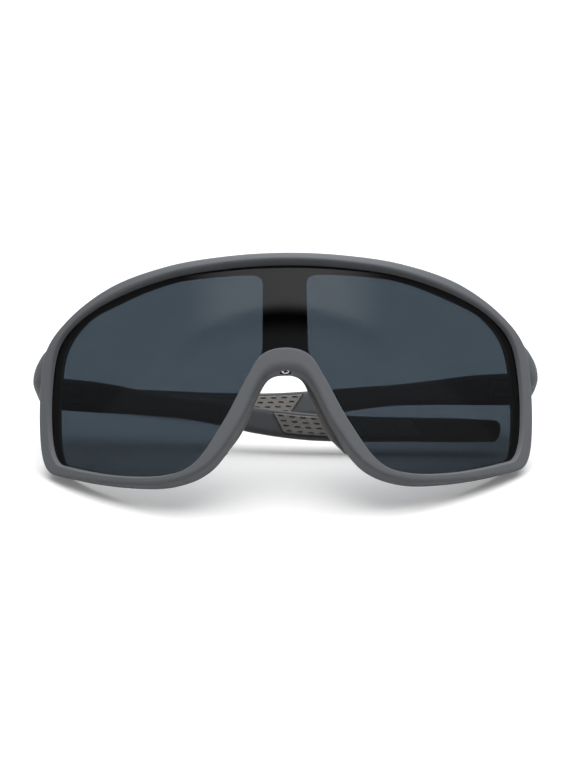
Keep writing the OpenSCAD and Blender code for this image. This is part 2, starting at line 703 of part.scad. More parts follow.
// Temples, drawn straight back from the left side's hinge. A grip follows its temple's
// middle line and covers this share of its height
grip_share = 0.72;
grip_steps = 8;
function temple_column(column) = [for (s = temple_shares) [s[0], s[column]]];
function grip_at(along, up) =
    let (y = grip_start + along - up * grip_slant / 2,
         share = (y - butt_gap) / (temple_len - butt_gap - tip_len))
    [y, up * grip_share * temple_h / 2 * lookup(share, temple_column(2))
        - temple_drop * lookup(share, temple_column(1))];
module grip_outline(grow) {
    function edge_point(step, up) =
        grip_at(step / grip_steps * (grip_len + 2 * grow) - grow, up) + [0, up * grow];
    polygon([for (step = [0:grip_steps]) edge_point(step, -1),
             for (step = [grip_steps:-1:0]) edge_point(step, 1)]);
}
module on_inner_face() {
    translate([inner_face, 0, 0]) rotate([90, 0, 90]) children();
}
module temple_arm() {
    difference() {
        run_of(temple_rings);
        barrel_cut();
        leaf_cut(-over, leaf_temple_len + hinge_clear);
        rivets(temple_rivet_shares, leaf_temple_len, rivet_d + 2 * fit);
        on_inner_face() translate([0, 0, -over])
            linear_extrude(over + grip_sink) grip_outline(fit);
    }
}
module dash() {
    translate([-dash_len / 2, -dash_w / 2]) square([dash_len, dash_w]);
}
module temple_grip() {
    first = dash_pitch * 0.6;
    count = floor((grip_len - first) / dash_pitch);
    difference() {
        on_inner_face() translate([0, 0, -grip_proud])
            linear_extrude(grip_proud + grip_sink) grip_outline(0);
        for (row = [0:dash_rows - 1], i = [0:count - 1]) {
            place = grip_at(first + i * dash_pitch, 1 - (2 * row + 1) / dash_rows);
            on_inner_face() translate([place[0], place[1], -grip_proud - over])
                linear_extrude(over + dash_d) dash();
        }
    }
}

module temple_arm_right() { color("slategray") stand() on_right(fold_angle_right) temple_arm(); }
module temple_arm_left() { color("slategray") stand() on_left(fold_angle_left) temple_arm(); }
module temple_grip_right() { color("dimgray") stand() on_right(fold_angle_right) temple_grip(); }
module temple_grip_left() { color("dimgray") stand() on_left(fold_angle_left) temple_grip(); }
module temple_hinge_leaf_right() { color("silver") stand() on_right(fold_angle_right) temple_leaf(); }
module temple_hinge_leaf_left() { color("silver") stand() on_left(fold_angle_left) temple_leaf(); }
module temple_hinge_rivets_right() {
    color("silver") stand() on_right(fold_angle_right) rivet_set(temple_rivet_shares, leaf_temple_len);
}
module temple_hinge_rivets_left() {
    color("silver") stand() on_left(fold_angle_left) rivet_set(temple_rivet_shares, leaf_temple_len);
}

front_frame();
lens();
lens_mask();
nose_piece();
bridge_screw();
bridge_insert();
front_hinge_leaf_right();
front_hinge_leaf_left();
front_hinge_rivets_right();
front_hinge_rivets_left();
hinge_screw_right();
hinge_screw_left();
temple_arm_right();
temple_arm_left();
temple_grip_right();
temple_grip_left();
temple_hinge_leaf_right();
temple_hinge_leaf_left();
temple_hinge_rivets_right();
temple_hinge_rivets_left();
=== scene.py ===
"""Shield sunglasses, folded on a white table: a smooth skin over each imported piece.

Every shape is worked out in millimetres on the upright front, with +X to the wearer's
left, +Y to the rear and +Z up from the lowest point of the rim, and is leant back onto
the table when its mesh is made. The sizes are those of the part's own source.
"""

import json
import math

import bpy
import numpy as np
from mathutils import Matrix


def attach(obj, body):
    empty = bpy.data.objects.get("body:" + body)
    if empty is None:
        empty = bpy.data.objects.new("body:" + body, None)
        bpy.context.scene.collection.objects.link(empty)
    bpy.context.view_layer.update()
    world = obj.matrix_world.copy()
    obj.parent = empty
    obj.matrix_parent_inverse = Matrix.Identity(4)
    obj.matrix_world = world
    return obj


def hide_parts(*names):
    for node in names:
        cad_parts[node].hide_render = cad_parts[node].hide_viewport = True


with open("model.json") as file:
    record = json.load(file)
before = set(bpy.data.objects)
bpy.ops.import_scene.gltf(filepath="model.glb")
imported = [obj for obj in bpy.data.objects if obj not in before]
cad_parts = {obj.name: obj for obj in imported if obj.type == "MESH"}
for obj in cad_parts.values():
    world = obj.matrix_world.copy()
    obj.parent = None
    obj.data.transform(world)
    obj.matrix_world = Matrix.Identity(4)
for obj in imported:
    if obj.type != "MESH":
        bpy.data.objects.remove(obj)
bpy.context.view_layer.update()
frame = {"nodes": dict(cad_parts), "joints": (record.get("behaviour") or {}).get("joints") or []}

MM = 0.001
MIRROR = {"left": 1, "right": -1}

# Front, in millimetres. The outlines' rows are shares of the half arc and of the height.
FRONT_ARC = 161.0
FRONT_H = 63.9
WRAP_R = 92.0
RIM_DEPTH = 6.4
BROW_PROUD = 1.8
BROW_FALL = 1.0
BROW_SOFT = 0.5
RIM_ROUND = 1.1
RIM_BACK_ROUND = 0.9
RIM_LIP_ROUND = 0.35
RIM_WALL_SLOPE = 0.55
RIM_OPEN = 2.4
BRIDGE_ROUND = 1.5
HALF_ARC = FRONT_ARC / 2
BROW_FROM_SHARE = 0.6
BROW_OVER_SHARE = 0.35
PROUD_SIDE_SHARE = 0.75
OPEN_FROM_SHARE = 0.5
OPEN_OVER_SHARE = 0.3
BRIDGE_SHARE = 0.15
BRIDGE_TOP_SHARE = 0.6
OUTER_SHARES = np.array([
    [0, 1], [0.211, 0.995], [0.422, 0.98], [0.655, 0.933], [0.849, 0.836], [0.971, 0.715],
    [1, 0.532], [0.994, 0.306], [0.952, 0.161], [0.845, 0.099], [0.621, 0.026],
    [0.422, 0], [0.273, 0.058], [0.165, 0.227], [0.099, 0.391], [0.058, 0.455], [0, 0.469]])
INNER_SHARES = np.array([
    [0, 0.953], [0.211, 0.946], [0.424, 0.926], [0.640, 0.874], [0.801, 0.805],
    [0.902, 0.705], [0.936, 0.524], [0.931, 0.313], [0.896, 0.19], [0.819, 0.141],
    [0.615, 0.068], [0.435, 0.042], [0.323, 0.081], [0.223, 0.248], [0.138, 0.445],
    [0.083, 0.548], [0, 0.578]])

# Lens and its printed mask
LENS_T = 1.8
LENS_RECESS = 2.3
LENS_RISE = 1.2
LENS_BACK = -LENS_RECESS - LENS_T
GROOVE_D = 1.3
GROOVE_CLEAR = 0.15
MASK_T = 0.15
BAR_HALF = 6.3
BAR_FLARE = 0.7
BORDER_SHARES = [0, 0.03, 0.14, 0.47, 0.54, 1]
BORDER_WIDTHS = [1.9, 1.9, 0.6, 0.6, 0.4, 0.4]
WINDOW_ROUND = 3.0
EDGE_SHARE = 0.9985

# Nose piece. The rows of its section are each point's shares of the wing's reach, of
# NOSE_IN, of the wall and of the flare, whose sum places it towards the nose, and its share
# of the depth.
NOSE_DEPTH = 6.0
NOSE_IN = 0.7
NOSE_SHIFT = 0.7
SADDLE_BACK = 0.5
NOSE_WALL = 2.2
NOSE_FLARE = 2.6
SADDLE_FLARE = 1.2
NOSE_FROM_SHARE = 0.785
NOSE_WING_RATE = 1.2
NOSE_LEAST_SHARE = 0.6
NOSE_END_SHARE = 0.3
NOSE_END_FROM = 0.2
NOSE_END_OVER = 0.6
NOSE_END_ROUND = 1.1
NOSE_SECTION = np.array([
    [1, -0.3, 0, 0, 0], [1, 0, 0, 0, 0.2], [1, -0.45, 0, -0.4, 0.55], [0, 0, 0, -1, 0.94],
    [0, 0, -0.6, -1, 1], [0, 0, -1, -1, 0.88], [0, 0, -1, -0.35, 0.45], [0, 0, -1, 0, 0]])
NOSE_SLOT_SHARES = [0.868, 0.836, 0.804]
NOSE_SLOT_LEN = 2.8
NOSE_SLOT_W = 0.8
NOSE_SLOT_D = 0.6
NOSE_SLOT_IN_SHARE = 0.25
NOSE_SLOT_BACK_SHARE = 0.4

# Bridge screw
SCREW_HEAD_D = 2.5
SCREW_HEAD_H = 0.8
SCREW_SHANK_D = 1.4
SCREW_LEN = 3.6
SCREW_EDGE_SHARE = 0.16
SCREW_RECESS_D = 3.2
SCREW_RECESS_OUT = 2.8
SCREW_UP_SHARE = 0.6
SCREW_IN_SHARE = 1.1
SCREW_TILT = math.radians(25)
SLOT_ARM_SHARE = 0.3
SLOT_HALF_SHARE = 0.1
SLOT_DEEP_SHARE = 0.7
SLOT_TURN = math.radians(20)

# Hinges and lugs. A lug's rows are its shares of the length, of the rim's depth inwards, of
# the reach outwards, of the height for its middle and for half its height, and of the cant,
# and the place of its ridge. A side's rows are shares of the thickness, and of the half
# height where the side is a smooth crown and where it is a ridge.
BARREL_R = 1.4
KNUCKLE_MID = 1.8
KNUCKLE_END = 1.6
KNUCKLE_GAP = 0.06
PIN_HEAD_H = 0.7
LEAF_T = 0.9
LEAF_FRONT_LEN = 6.4
LEAF_TEMPLE_LEN = 8.6
PIN_INSET = 0.6
HINGE_CLEAR = 0.15
FIT = 0.03
HINGE_SHARE = 0.5715
HINGE_Z = HINGE_SHARE * FRONT_H
LUG_LEN = 10.0
LUG_OUT = 2.3
LUG_H = 13.0
LUG_END_SHARE = 0.8
STACK_H = KNUCKLE_MID + 2 * (KNUCKLE_END + KNUCKLE_GAP)
LUG_SHARES = np.array([
    [0.06, 0.44, -0.50, 0.30, 0.35, 0, -0.25], [0.20, 0.57, 0.30, 0.37, 0.52, 0, -0.32],
    [0.38, 0.70, 0.83, 0.33, 0.55, 0, -0.30], [0.60, 0.47, 1.00, 0.24, 0.51, 0, -0.15],
    [0.80, 0.36, 0.92, 0.11, 0.45, 0.7, 0.12]])
LUG_SHARP_SHARE = 0.7
BUTT_RIDGE_SHARE = 0.4
SIDE_SHARES = np.array([
    [1, 0, 0], [0.97, 0.5, 0.12], [0.85, 0.82, 0.36], [0.6, 0.97, 0.66], [0.22, 1, 0.93],
    [0.07, 0.96, 0.97], [0, 0.84, 0.84]])

# Seams between the rim and its lugs
SEAM_REACH = 1.6
SEAM_PASSES = 30
SEAM_BLOCK = 64
SAME_DIGITS = 7

# Temples. The rows are shares of the run, of the drop, of the height and of the thickness.
TEMPLE_LEN = 130.0
TEMPLE_H = 10.0
TEMPLE_T = 4.2
TEMPLE_DROP = 5.6
BUTT_GAP = 0.1
TIP_SHARE = 0.22
TIP_LEN = TIP_SHARE * TEMPLE_H
TIP_TURN = math.radians(84)
TIP_POWER = 0.8
TIP_RISE_SHARE = 0.18
TIP_INSET_SHARE = 1 / 3
TEMPLE_SHARES = np.array([
    [0, 0, 1.00, 1], [0.11, 0.09, 0.92, 0.98], [0.20, 0.22, 0.74, 0.93],
    [0.29, 0.37, 0.61, 0.88], [0.37, 0.56, 0.66, 0.85], [0.47, 0.86, 0.76, 0.84],
    [0.58, 1.05, 0.78, 0.84], [0.70, 1.03, 0.74, 0.84], [0.81, 0.93, 0.70, 0.80],
    [0.92, 0.84, 0.69, 0.74], [1, 0.79, 0.63, 0.66]])
RIDGE_FADE_SHARE = 0.3
GRIP_LEN = 40.0
GRIP_START = 66.0
GRIP_SHARE = 0.72
GRIP_TEMPLE_SHARE = 0.75
GRIP_HALF = GRIP_SHARE * TEMPLE_H * GRIP_TEMPLE_SHARE / 2
GRIP_SLANT = 3.4
GRIP_CORNER = 0.5
GRIP_SINK = 1.0
GRIP_PROUD = 0.35
GRIP_EDGE = 0.22
GRIP_SEAM = 0.12
DASH_LEN = 1.7
DASH_W = 0.5
DASH_D = 0.45
DASH_PITCH = 3.2
DASH_ROWS = 4
DASH_FROM_SHARE = 0.6

# Folding, the lean of the front, and how far a cutter runs past what it cuts
CANT = {"left": math.radians(5), "right": math.radians(-4)}
FOLD = {"left": math.radians(77.1), "right": math.radians(91.5)}
LEAN = math.radians(37)
OVER = 0.5

# Points to a span, a side or a round of each form
OUTLINE_STEPS = 20
ARC_STEPS = 6
SIDE_STEPS = 5
SECTION_STEPS = 4
NOSE_STEPS = 6
SHEET_STEPS = 9
LUG_STEPS = 10
TEMPLE_STEPS = 14
TIP_STEPS = 14
GRIP_STEPS = 24
GRIP_EDGE_STEPS = 5
SCREW_EDGE_STEPS = 6
SLOT_END_STEPS = 9
DOME_STEPS = 8
DOME_TURN = math.radians(86)
ROUND_STEPS = 64
AXIS_R = 1e-4

# Edges sharper than these, in degrees, stay sharp in the shading
SOFT_ANGLE = 38
CRISP_ANGLE = 30

# Finishes: patterns in waves to a metre, with the detail and roughness of the fine ones,
# bumps as a strength and a height in metres, and what each pattern adds to a roughness
FINE_DETAIL = 3.0
FINE_ROUGH = 0.6
GRAIN_WAVES = 5200
GRAIN_BUMP = (0.35, 0.00006)
PLASTIC_CLOUD_WAVES = 90
PLASTIC_CLOUD_SHARE = 0.7
PLASTIC_TONES = (0.93, 1.07)
PLASTIC_ROUGH = 0.5
PLASTIC_GRAIN_ROUGH = 0.12
PLASTIC_CLOUD_ROUGH = 0.06
# Painted shade in the plastic's nooks: how far it reaches, its darkest tone and its power
PLASTIC_SHADE_REACH = 4 * MM
PLASTIC_SHADE_TONE = 0.3
PLASTIC_SHADE_POWER = 1.5
PLASTIC_IOR = 1.46
RUBBER_SKIN_WAVES = 3800
RUBBER_SKIN_BUMP = (0.3, 0.00005)
RUBBER_CLOUD_WAVES = 160
RUBBER_TONES = (0.9, 1.1)
RUBBER_ROUGH = 0.55
RUBBER_SKIN_ROUGH = 0.15
RUBBER_SHEEN = 0.12
RUBBER_IOR = 1.45
LENS_PASSES = (0.191, 0.226, 0.255, 1)
LENS_GLARE = 0.05
LENS_ROUGH = 0.02
INK_COLOR = (0.004, 0.004, 0.005, 1)
INK_PEEL_WAVES = 900
INK_PEEL_BUMP = (0.1, 0.00005)
INK_ROUGH = 0.2
INK_PEEL_ROUGH = 0.1
METAL_LINE_WAVES = 2500
METAL_LINE_BUMP = (0.15, 0.00002)
METAL_ROUGH = 0.2
METAL_LINE_ROUGH = 0.2
METAL_STAIN_WAVES = 500
METAL_STAIN_TONE = 0.92
# Painted shade in the metal's slots and corners: its reach, its darkest tone and its power
METAL_SHADE_REACH = 1 * MM
METAL_SHADE_TONE = 0.04
METAL_SHADE_POWER = 2
# Rays that each point sends out to find the near surfaces for the painted shade
SHADE_RAYS = 8
WHITE = (1, 1, 1, 1)

# Table: half its side in metres, how white it is seen and how much light it throws back
FLOOR_HALF = 6.0
FLOOR_SEEN = (0.95, 0.95, 0.95, 1)
FLOOR_BACK = (0.3, 0.3, 0.3, 1)
FLOOR_LIFT = 0.14

# Studio: ways to the lamp, to the panel and past the ceiling's edge, the cosines to a way
# between which a light comes up, and strengths
ROOM_LIGHT = 0.13
LAMP_WAY = (0.1, 0.3, 1)
LAMP_RANGE = (0.6, 1)
LAMP_LIGHT = 3.3
PANEL_WAY = (0, -0.574, 0.819)
PANEL_RANGE = (0.8, 0.98)
PANEL_LIGHT = 0.72
CEILING_WAY = (0, -0.649, -0.76)
CEILING_RANGE = (-0.2513, -0.2455)
GAP_END_RANGE = (-0.2455, -0.236)
GAP_SIDE_RANGE = (0.5, 0.7)
BELOW_LIGHT = 0.06

# Camera: the photograph's long side and focal length in its pixels, the pixel of the mark
# that it aims by, the mark's height in millimetres, and the camera's distance and turns
FOCAL_PX = 2560
LONG_SIDE_PX = 768
CENTRE_PX = np.array([288, 384])
MARK_PX = np.array([285.6, 369.5])
MARK_Z = 30.1
CAMERA_DISTANCE = 700 * MM
CAMERA_HEIGHT = math.radians(20.5)
CAMERA_ROLL = math.atan(0.0099)
SENSOR_WIDTH = 36

rim_side_x = WRAP_R * math.sin(HALF_ARC / WRAP_R)
rim_side_y = WRAP_R - WRAP_R * math.cos(HALF_ARC / WRAP_R)
hinge = np.array([rim_side_x + LUG_END_SHARE * LUG_OUT - TEMPLE_T - PIN_INSET,
                  rim_side_y + LUG_LEN, HINGE_Z])

# The stance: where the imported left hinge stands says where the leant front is
packed_hinge = {j["child"]: np.array(j["pos_m"]) / MM for j in frame["joints"]}["temple_left"]
stand_y = packed_hinge[1] - hinge[1] * math.cos(LEAN) - hinge[2] * math.sin(LEAN)
stand_z = packed_hinge[2] - hinge[2] * math.cos(LEAN) + hinge[1] * math.sin(LEAN)


def stand(points):
    """Leans upright points back by the lean angle about X and sets them on the table."""
    x, y, z = np.moveaxis(points, -1, 0)
    back = y * math.cos(LEAN) + z * math.sin(LEAN) + stand_y
    up = z * math.cos(LEAN) - y * math.sin(LEAN) + stand_z
    return np.stack([x, back, up], -1)


def smooth(points, steps):
    """Curve through the rows of points; the first and last row only steer it. A share t of
    the way from b to c, with a before and d after, it is half of
    2b + (c - a)t + (2a - 5b + 4c - d)t^2 + (3b - a - 3c + d)t^3."""
    a, b, c, d = (points[i:len(points) - 3 + i, None] for i in range(4))
    t = (np.arange(steps) / steps)[:, None]
    curve = (2 * b + (c - a) * t + (2 * a - 5 * b + 4 * c - d) * t ** 2
             + (3 * b - a - 3 * c + d) * t ** 3) / 2
    return np.vstack([curve.reshape(-1, points.shape[1]), points[-2:-1]])


def smooth_open(points, steps):
    """The same curve through every row: its ends run straight on."""
    first = 2 * points[:1] - points[1:2]
    last = 2 * points[-1:] - points[-2:-1]
    return smooth(np.vstack([first, points, last]), steps)


def half_outline(shares):
    """Half of the rim's outline, from mid brow to mid nose, level where it meets its mirror
    image."""
    mirrored = shares * (-1, 1)
    rows = np.vstack([mirrored[1:2], shares, mirrored[-2:-1]])
    return smooth(rows, OUTLINE_STEPS) * (HALF_ARC, FRONT_H)


def whole(half):
    """A half outline and its mirror image, as one closed loop."""
    return np.vstack([half, half[-2:0:-1] * (-1, 1)])


outer_half = half_outline(OUTER_SHARES)
inner_half = half_outline(INNER_SHARES)
half_count = len(outer_half) - 1
outer_loop = whole(outer_half)
inner_loop = whole(inner_half)


def ease(x):
    """3t^2 - 2t^3, with t held between 0 and 1."""
    t = np.clip(x, 0, 1)
    return t * t * (3 - 2 * t)


def wrap(flat, out):
    """A place on the wrapped front: flat is (arc, height), and out is how far it stands out
    of the face, along the radius of the wrap."""
    turn = flat[..., 0] / WRAP_R
    reach = WRAP_R + out
    return np.stack([reach * np.sin(turn), WRAP_R - reach * np.cos(turn), flat[..., 1]], -1)


def unit(vectors):
    """Vectors shortened or stretched to length 1."""
    return vectors / np.linalg.norm(vectors, axis=-1, keepdims=True)


def rounded_section(corners, radii, side_steps=SIDE_STEPS):
    """Closed sections through corners, an array of sections by corners by 2. A corner of
    radius r is the curve (1-t)^2 p + 2t(1-t) q + t^2 s, with q the corner and p and s its
    two sides r away from it. Straight sides get points of their own."""
    t = np.linspace(0, 1, ARC_STEPS)[:, None]
    side = (np.arange(1, side_steps) / side_steps)[:, None]
    starts, ends, arcs = [], [], []
    for k, radius in enumerate(radii):
        q = corners[:, k]
        p = q + unit(corners[:, k - 1] - q) * np.reshape(radius, (-1, 1))
        s = q + unit(corners[:, (k + 1) % len(radii)] - q) * np.reshape(radius, (-1, 1))
        curve = (1 - t) ** 2 * p[:, None] + 2 * t * (1 - t) * q[:, None] + t ** 2 * s[:, None]
        arcs.append(curve if np.any(radius) else q[:, None])
        starts.append(p)
        ends.append(s)
    parts = []
    for k, arc in enumerate(arcs):
        following = starts[(k + 1) % len(arcs)]
        parts += [arc, ends[k][:, None] * (1 - side) + following[:, None] * side]
    return np.concatenate(parts, 1)


def lens_shift(arc):
    """How much nearer the face the lens lies: it is a little flatter than the wrap."""
    return LENS_RISE * (arc / HALF_ARC) ** 2


def section_points(*pairs):
    """Sections by points by 2, from each point's two coordinates in every section."""
    return np.stack([np.stack(np.broadcast_arrays(*pair), 1) for pair in pairs], 1)


def rim_rings():
    """The rim's sections, one to a station of its loops: each steps from the lens edge
    outwards across the rim, and out of the face. Along the brow the face falls back towards
    its outer edge."""
    width = np.linalg.norm(outer_loop - inner_loop, axis=1)
    out = unit(outer_loop - inner_loop)
    inner_side = np.abs(inner_loop[:, 0]) / HALF_ARC
    outer_side = np.abs(outer_loop[:, 0]) / HALF_ARC
    height = outer_loop[:, 1] / FRONT_H
    brow = ease((height - BROW_FROM_SHARE) / BROW_OVER_SHARE)
    proud = BROW_PROUD * brow * (1 - ease(outer_side / PROUD_SIDE_SHARE))
    bridge = (height < BRIDGE_TOP_SHARE) * ease(1 - outer_side / BRIDGE_SHARE)
    at_side = ease((inner_side - OPEN_FROM_SHARE) / OPEN_OVER_SHARE)
    opening = RIM_OPEN * out[:, 0] ** 2 * at_side
    groove_front = lens_shift(inner_loop[:, 0]) + GROOVE_CLEAR - LENS_RECESS
    groove_back = lens_shift(inner_loop[:, 0]) + LENS_BACK - GROOVE_CLEAR
    corners = section_points(
        (0, groove_front), (RIM_WALL_SLOPE, proud), (width, proud - BROW_FALL * brow),
        (width, -RIM_DEPTH), (opening, -RIM_DEPTH), (0, groove_back),
        (GROOVE_D, groove_back), (GROOVE_D, groove_front))
    lip_round = RIM_LIP_ROUND + BROW_SOFT * brow
    outer_round = RIM_ROUND + BRIDGE_ROUND * bridge
    radii = [0, lip_round, outer_round, RIM_BACK_ROUND, RIM_LIP_ROUND, 0, 0, 0]
    section = rounded_section(corners, radii)
    across = inner_loop[:, None] + section[..., :1] * out[:, None]
    return wrap(across, section[..., 1])


def bar_sections(sharp, ridge):
    """Closed sections of a lug or a temple, one to a station, in shares of the thickness and
    of the half height. Outside, each goes from a smooth crown where sharp is 0 to a soft
    ridge where it is 1, with its outermost point at the height ridge; inside it is flat."""
    lower = SIDE_SHARES[:0:-1]
    rows = np.vstack([lower, SIDE_SHARES])
    edge = np.repeat([-1, 1], [len(lower), len(SIDE_SHARES)])
    way = rows[:, 1] + sharp[:, None] * (rows[:, 2] - rows[:, 1])
    height = edge * way + ridge[:, None] * (1 - way)
    points = np.stack([rows[:, 0] + 0 * height, height], -1)
    flat_rows = np.moveaxis(points, 1, 0).reshape(len(rows), -1)
    crown = smooth_open(flat_rows, SECTION_STEPS).reshape(-1, len(sharp), 2)
    side = (np.arange(1, SIDE_STEPS) / SIDE_STEPS)[:, None, None]
    return np.moveaxis(np.concatenate([crown, crown[-1] * (1 - side) + crown[0] * side]), 1, 0)


def beside_pin(x, y, z, cant, side):
    """Places x outwards from the left hinge's pin, y to the rear and z up, turned by the cant
    about the rear direction, or their mirror image."""
    left = np.stack([hinge[0] + x * np.cos(cant) + z * np.sin(cant), y,
                     hinge[2] - x * np.sin(cant) + z * np.cos(cant)], -1)
    return left * (MIRROR[side], 1, 1)


def lug_rings(side):
    """The lug's sections, front to back: each lies across the rear direction, at its own
    height and width, and turns about the hinge by its share of the cant."""
    y = rim_side_y + LUG_SHARES[:, 0] * LUG_LEN
    x_in = rim_side_x - LUG_SHARES[:, 1] * RIM_DEPTH
    x_out = rim_side_x + LUG_SHARES[:, 2] * LUG_OUT
    z_mid = HINGE_Z + LUG_SHARES[:, 3] * LUG_H
    rows = np.stack([y, x_in, x_out, z_mid, LUG_SHARES[:, 4] * LUG_H, *LUG_SHARES[:, 5:].T], 1)
    end = [hinge[1], hinge[0] + PIN_INSET, hinge[0] + PIN_INSET + TEMPLE_T, HINGE_Z,
           TEMPLE_H / 2, 1, BUTT_RIDGE_SHARE]
    rows = smooth_open(np.vstack([rows, end]), LUG_STEPS)
    y, x_in, x_out, z_mid, half_h, share, ridge = rows.T[..., None]
    bar = bar_sections(np.full(len(rows), LUG_SHARP_SHARE), ridge[:, 0])
    x = x_in + bar[..., 0] * (x_out - x_in) - hinge[0]
    z = z_mid + bar[..., 1] * half_h - HINGE_Z
    return beside_pin(x, y + 0 * x, z, share * CANT[side], side)


def on_hinge(points, side, fold):
    """Points of a hinge's own place, +Y along the open temple, turned in by the fold, canted
    and set on the left hinge or its mirror image."""
    x, y, z = np.moveaxis(points, -1, 0)
    fold_x = x * math.cos(fold) - y * math.sin(fold)
    fold_y = x * math.sin(fold) + y * math.cos(fold)
    return beside_pin(fold_x, hinge[1] + fold_y, z, CANT[side], side)


def temple_rings():
    """The temple's sections from the butt to the tip. The last stretch shrinks like the end
    of an ellipse, and towards the upper edge."""
    shares = smooth_open(TEMPLE_SHARES, TEMPLE_STEPS)
    run = BUTT_GAP + shares[:, 0] * (TEMPLE_LEN - BUTT_GAP - TIP_LEN)
    angle = np.linspace(0, TIP_TURN, TIP_STEPS)[1:]
    tip = np.repeat(shares[-1:], len(angle), 0)
    shares = np.vstack([shares, tip])
    y = np.concatenate([run, TEMPLE_LEN - TIP_LEN * (1 - np.sin(angle))])[:, None]
    size = np.concatenate([np.ones(len(run)), np.cos(angle) ** TIP_POWER])[:, None]
    thick = TEMPLE_T * shares[:, 3:]
    height = TEMPLE_H * shares[:, 2:3]
    mid = -TEMPLE_DROP * shares[:, 1:2] + (1 - size) * height * TIP_RISE_SHARE
    inset = (1 - size) * thick * TIP_INSET_SHARE
    fade = 1 - ease(shares[:, 0] / RIDGE_FADE_SHARE)
    bar = bar_sections(LUG_SHARP_SHARE * fade, BUTT_RIDGE_SHARE * fade)
    x = PIN_INSET + inset + bar[..., 0] * (thick - 2 * inset)
    z = mid + bar[..., 1] * height * size / 2
    return np.stack([x, y + 0 * x, z], -1)


def nose_reach(side):
    """How far a wing of the nose piece stands in, with side 1 for the left wing and -1 for
    the right one; the piece sits a little off the middle."""
    return NOSE_IN + side * NOSE_SHIFT


def from_least(share):
    """A depth's factor, which grows from its least to 1 as the share goes from 0 to 1."""
    return NOSE_LEAST_SHARE + (1 - NOSE_LEAST_SHARE) * share


def nose_rings():
    """The nose piece's sections round the nose opening, from wing tip to wing tip: a closed
    curve through eight points that stand in, back and away from the nose, with the wings
    deeper and more flared than the saddle."""
    start = round(NOSE_FROM_SHARE * half_count)
    station = np.arange(start, 2 * half_count - start + 1)
    outer = outer_loop[station]
    out = unit(outer - inner_loop[station])
    wing = ease(np.abs(station - half_count) / (half_count - start) * NOSE_WING_RATE)
    from_end = np.minimum(station - start, station[::-1] - start) / OUTLINE_STEPS
    grown = ease((from_end + NOSE_END_FROM) / NOSE_END_OVER)
    size = NOSE_END_SHARE + (1 - NOSE_END_SHARE) * grown
    depth = NOSE_DEPTH * from_least(wing) * from_least(size)
    reach = nose_reach(np.sign(half_count - station)) * wing - SADDLE_BACK * (1 - wing)
    flare = NOSE_FLARE * wing + SADDLE_FLARE * (1 - wing)
    back = -RIM_DEPTH - FIT
    points = section_points(*(
        (row[0] * reach + row[1] * NOSE_IN + row[2] * NOSE_WALL + row[3] * flare,
         back - row[4] * depth) for row in NOSE_SECTION))
    middle = -NOSE_WALL / 2
    points[..., 0] = middle + (points[..., 0] - middle) * size[:, None]
    closed = np.concatenate([points[:, -1:], points, points[:, :2]], 1)
    flat_rows = np.moveaxis(closed, 1, 0).reshape(closed.shape[1], -1)
    section = smooth(flat_rows, NOSE_STEPS)[:-1].reshape(-1, len(station), 2)
    section = np.moveaxis(section, 1, 0)
    section[..., 1] = np.minimum(section[..., 1], back)
    across = outer[:, None] + section[..., :1] * out[:, None]
    return wrap(across, section[..., 1])


def round_ends(rings, reach):
    """Adds sections that close a run at both ends like a dome: at angle w each is its end
    section shrunk about its middle by cos w and carried reach times sin w onward."""
    def dome(end, before):
        middle = end.mean(0)
        onward = unit(middle - before.mean(0))
        w = np.linspace(0, DOME_TURN, DOME_STEPS)[1:, None, None]
        return middle + (end - middle) * np.cos(w) + onward * reach * np.sin(w)
    return np.concatenate([dome(rings[0], rings[1])[::-1], rings, dome(rings[-1], rings[-2])])


def lens_edge(margin):
    """Half outline of the lens opening, moved outwards by the margin."""
    return inner_half + margin * unit(outer_half - inner_half)


def sheet_rings(margin, front, back):
    """A wrapped sheet as closed sections, one to each station of its lower edge: up its front
    face, from lower to upper edge, and down its back face."""
    edge = lens_edge(margin)
    turn = np.argmax(edge[:, 0])
    top, low = edge[:turn + 1], edge[:turn - 1:-1]
    across = np.minimum(low[:, 0], EDGE_SHARE * edge[turn, 0])
    across = across[np.concatenate([[True], np.diff(across) > 0])]
    highest = np.interp(across, top[:, 0], top[:, 1])
    lowest = np.interp(across, low[:, 0], low[:, 1])
    share = np.linspace(0, 1, SHEET_STEPS)
    height = lowest[:, None] * (1 - share) + highest[:, None] * share
    arc = np.repeat(across[:, None], len(share), 1)
    arc = np.vstack([-arc[:0:-1], arc])
    height = np.vstack([height[:0:-1], height])
    flat = np.stack([arc, height], -1)
    shift = lens_shift(arc)
    return np.concatenate([wrap(flat, front + shift), wrap(flat[:, ::-1], back + shift)], 1)


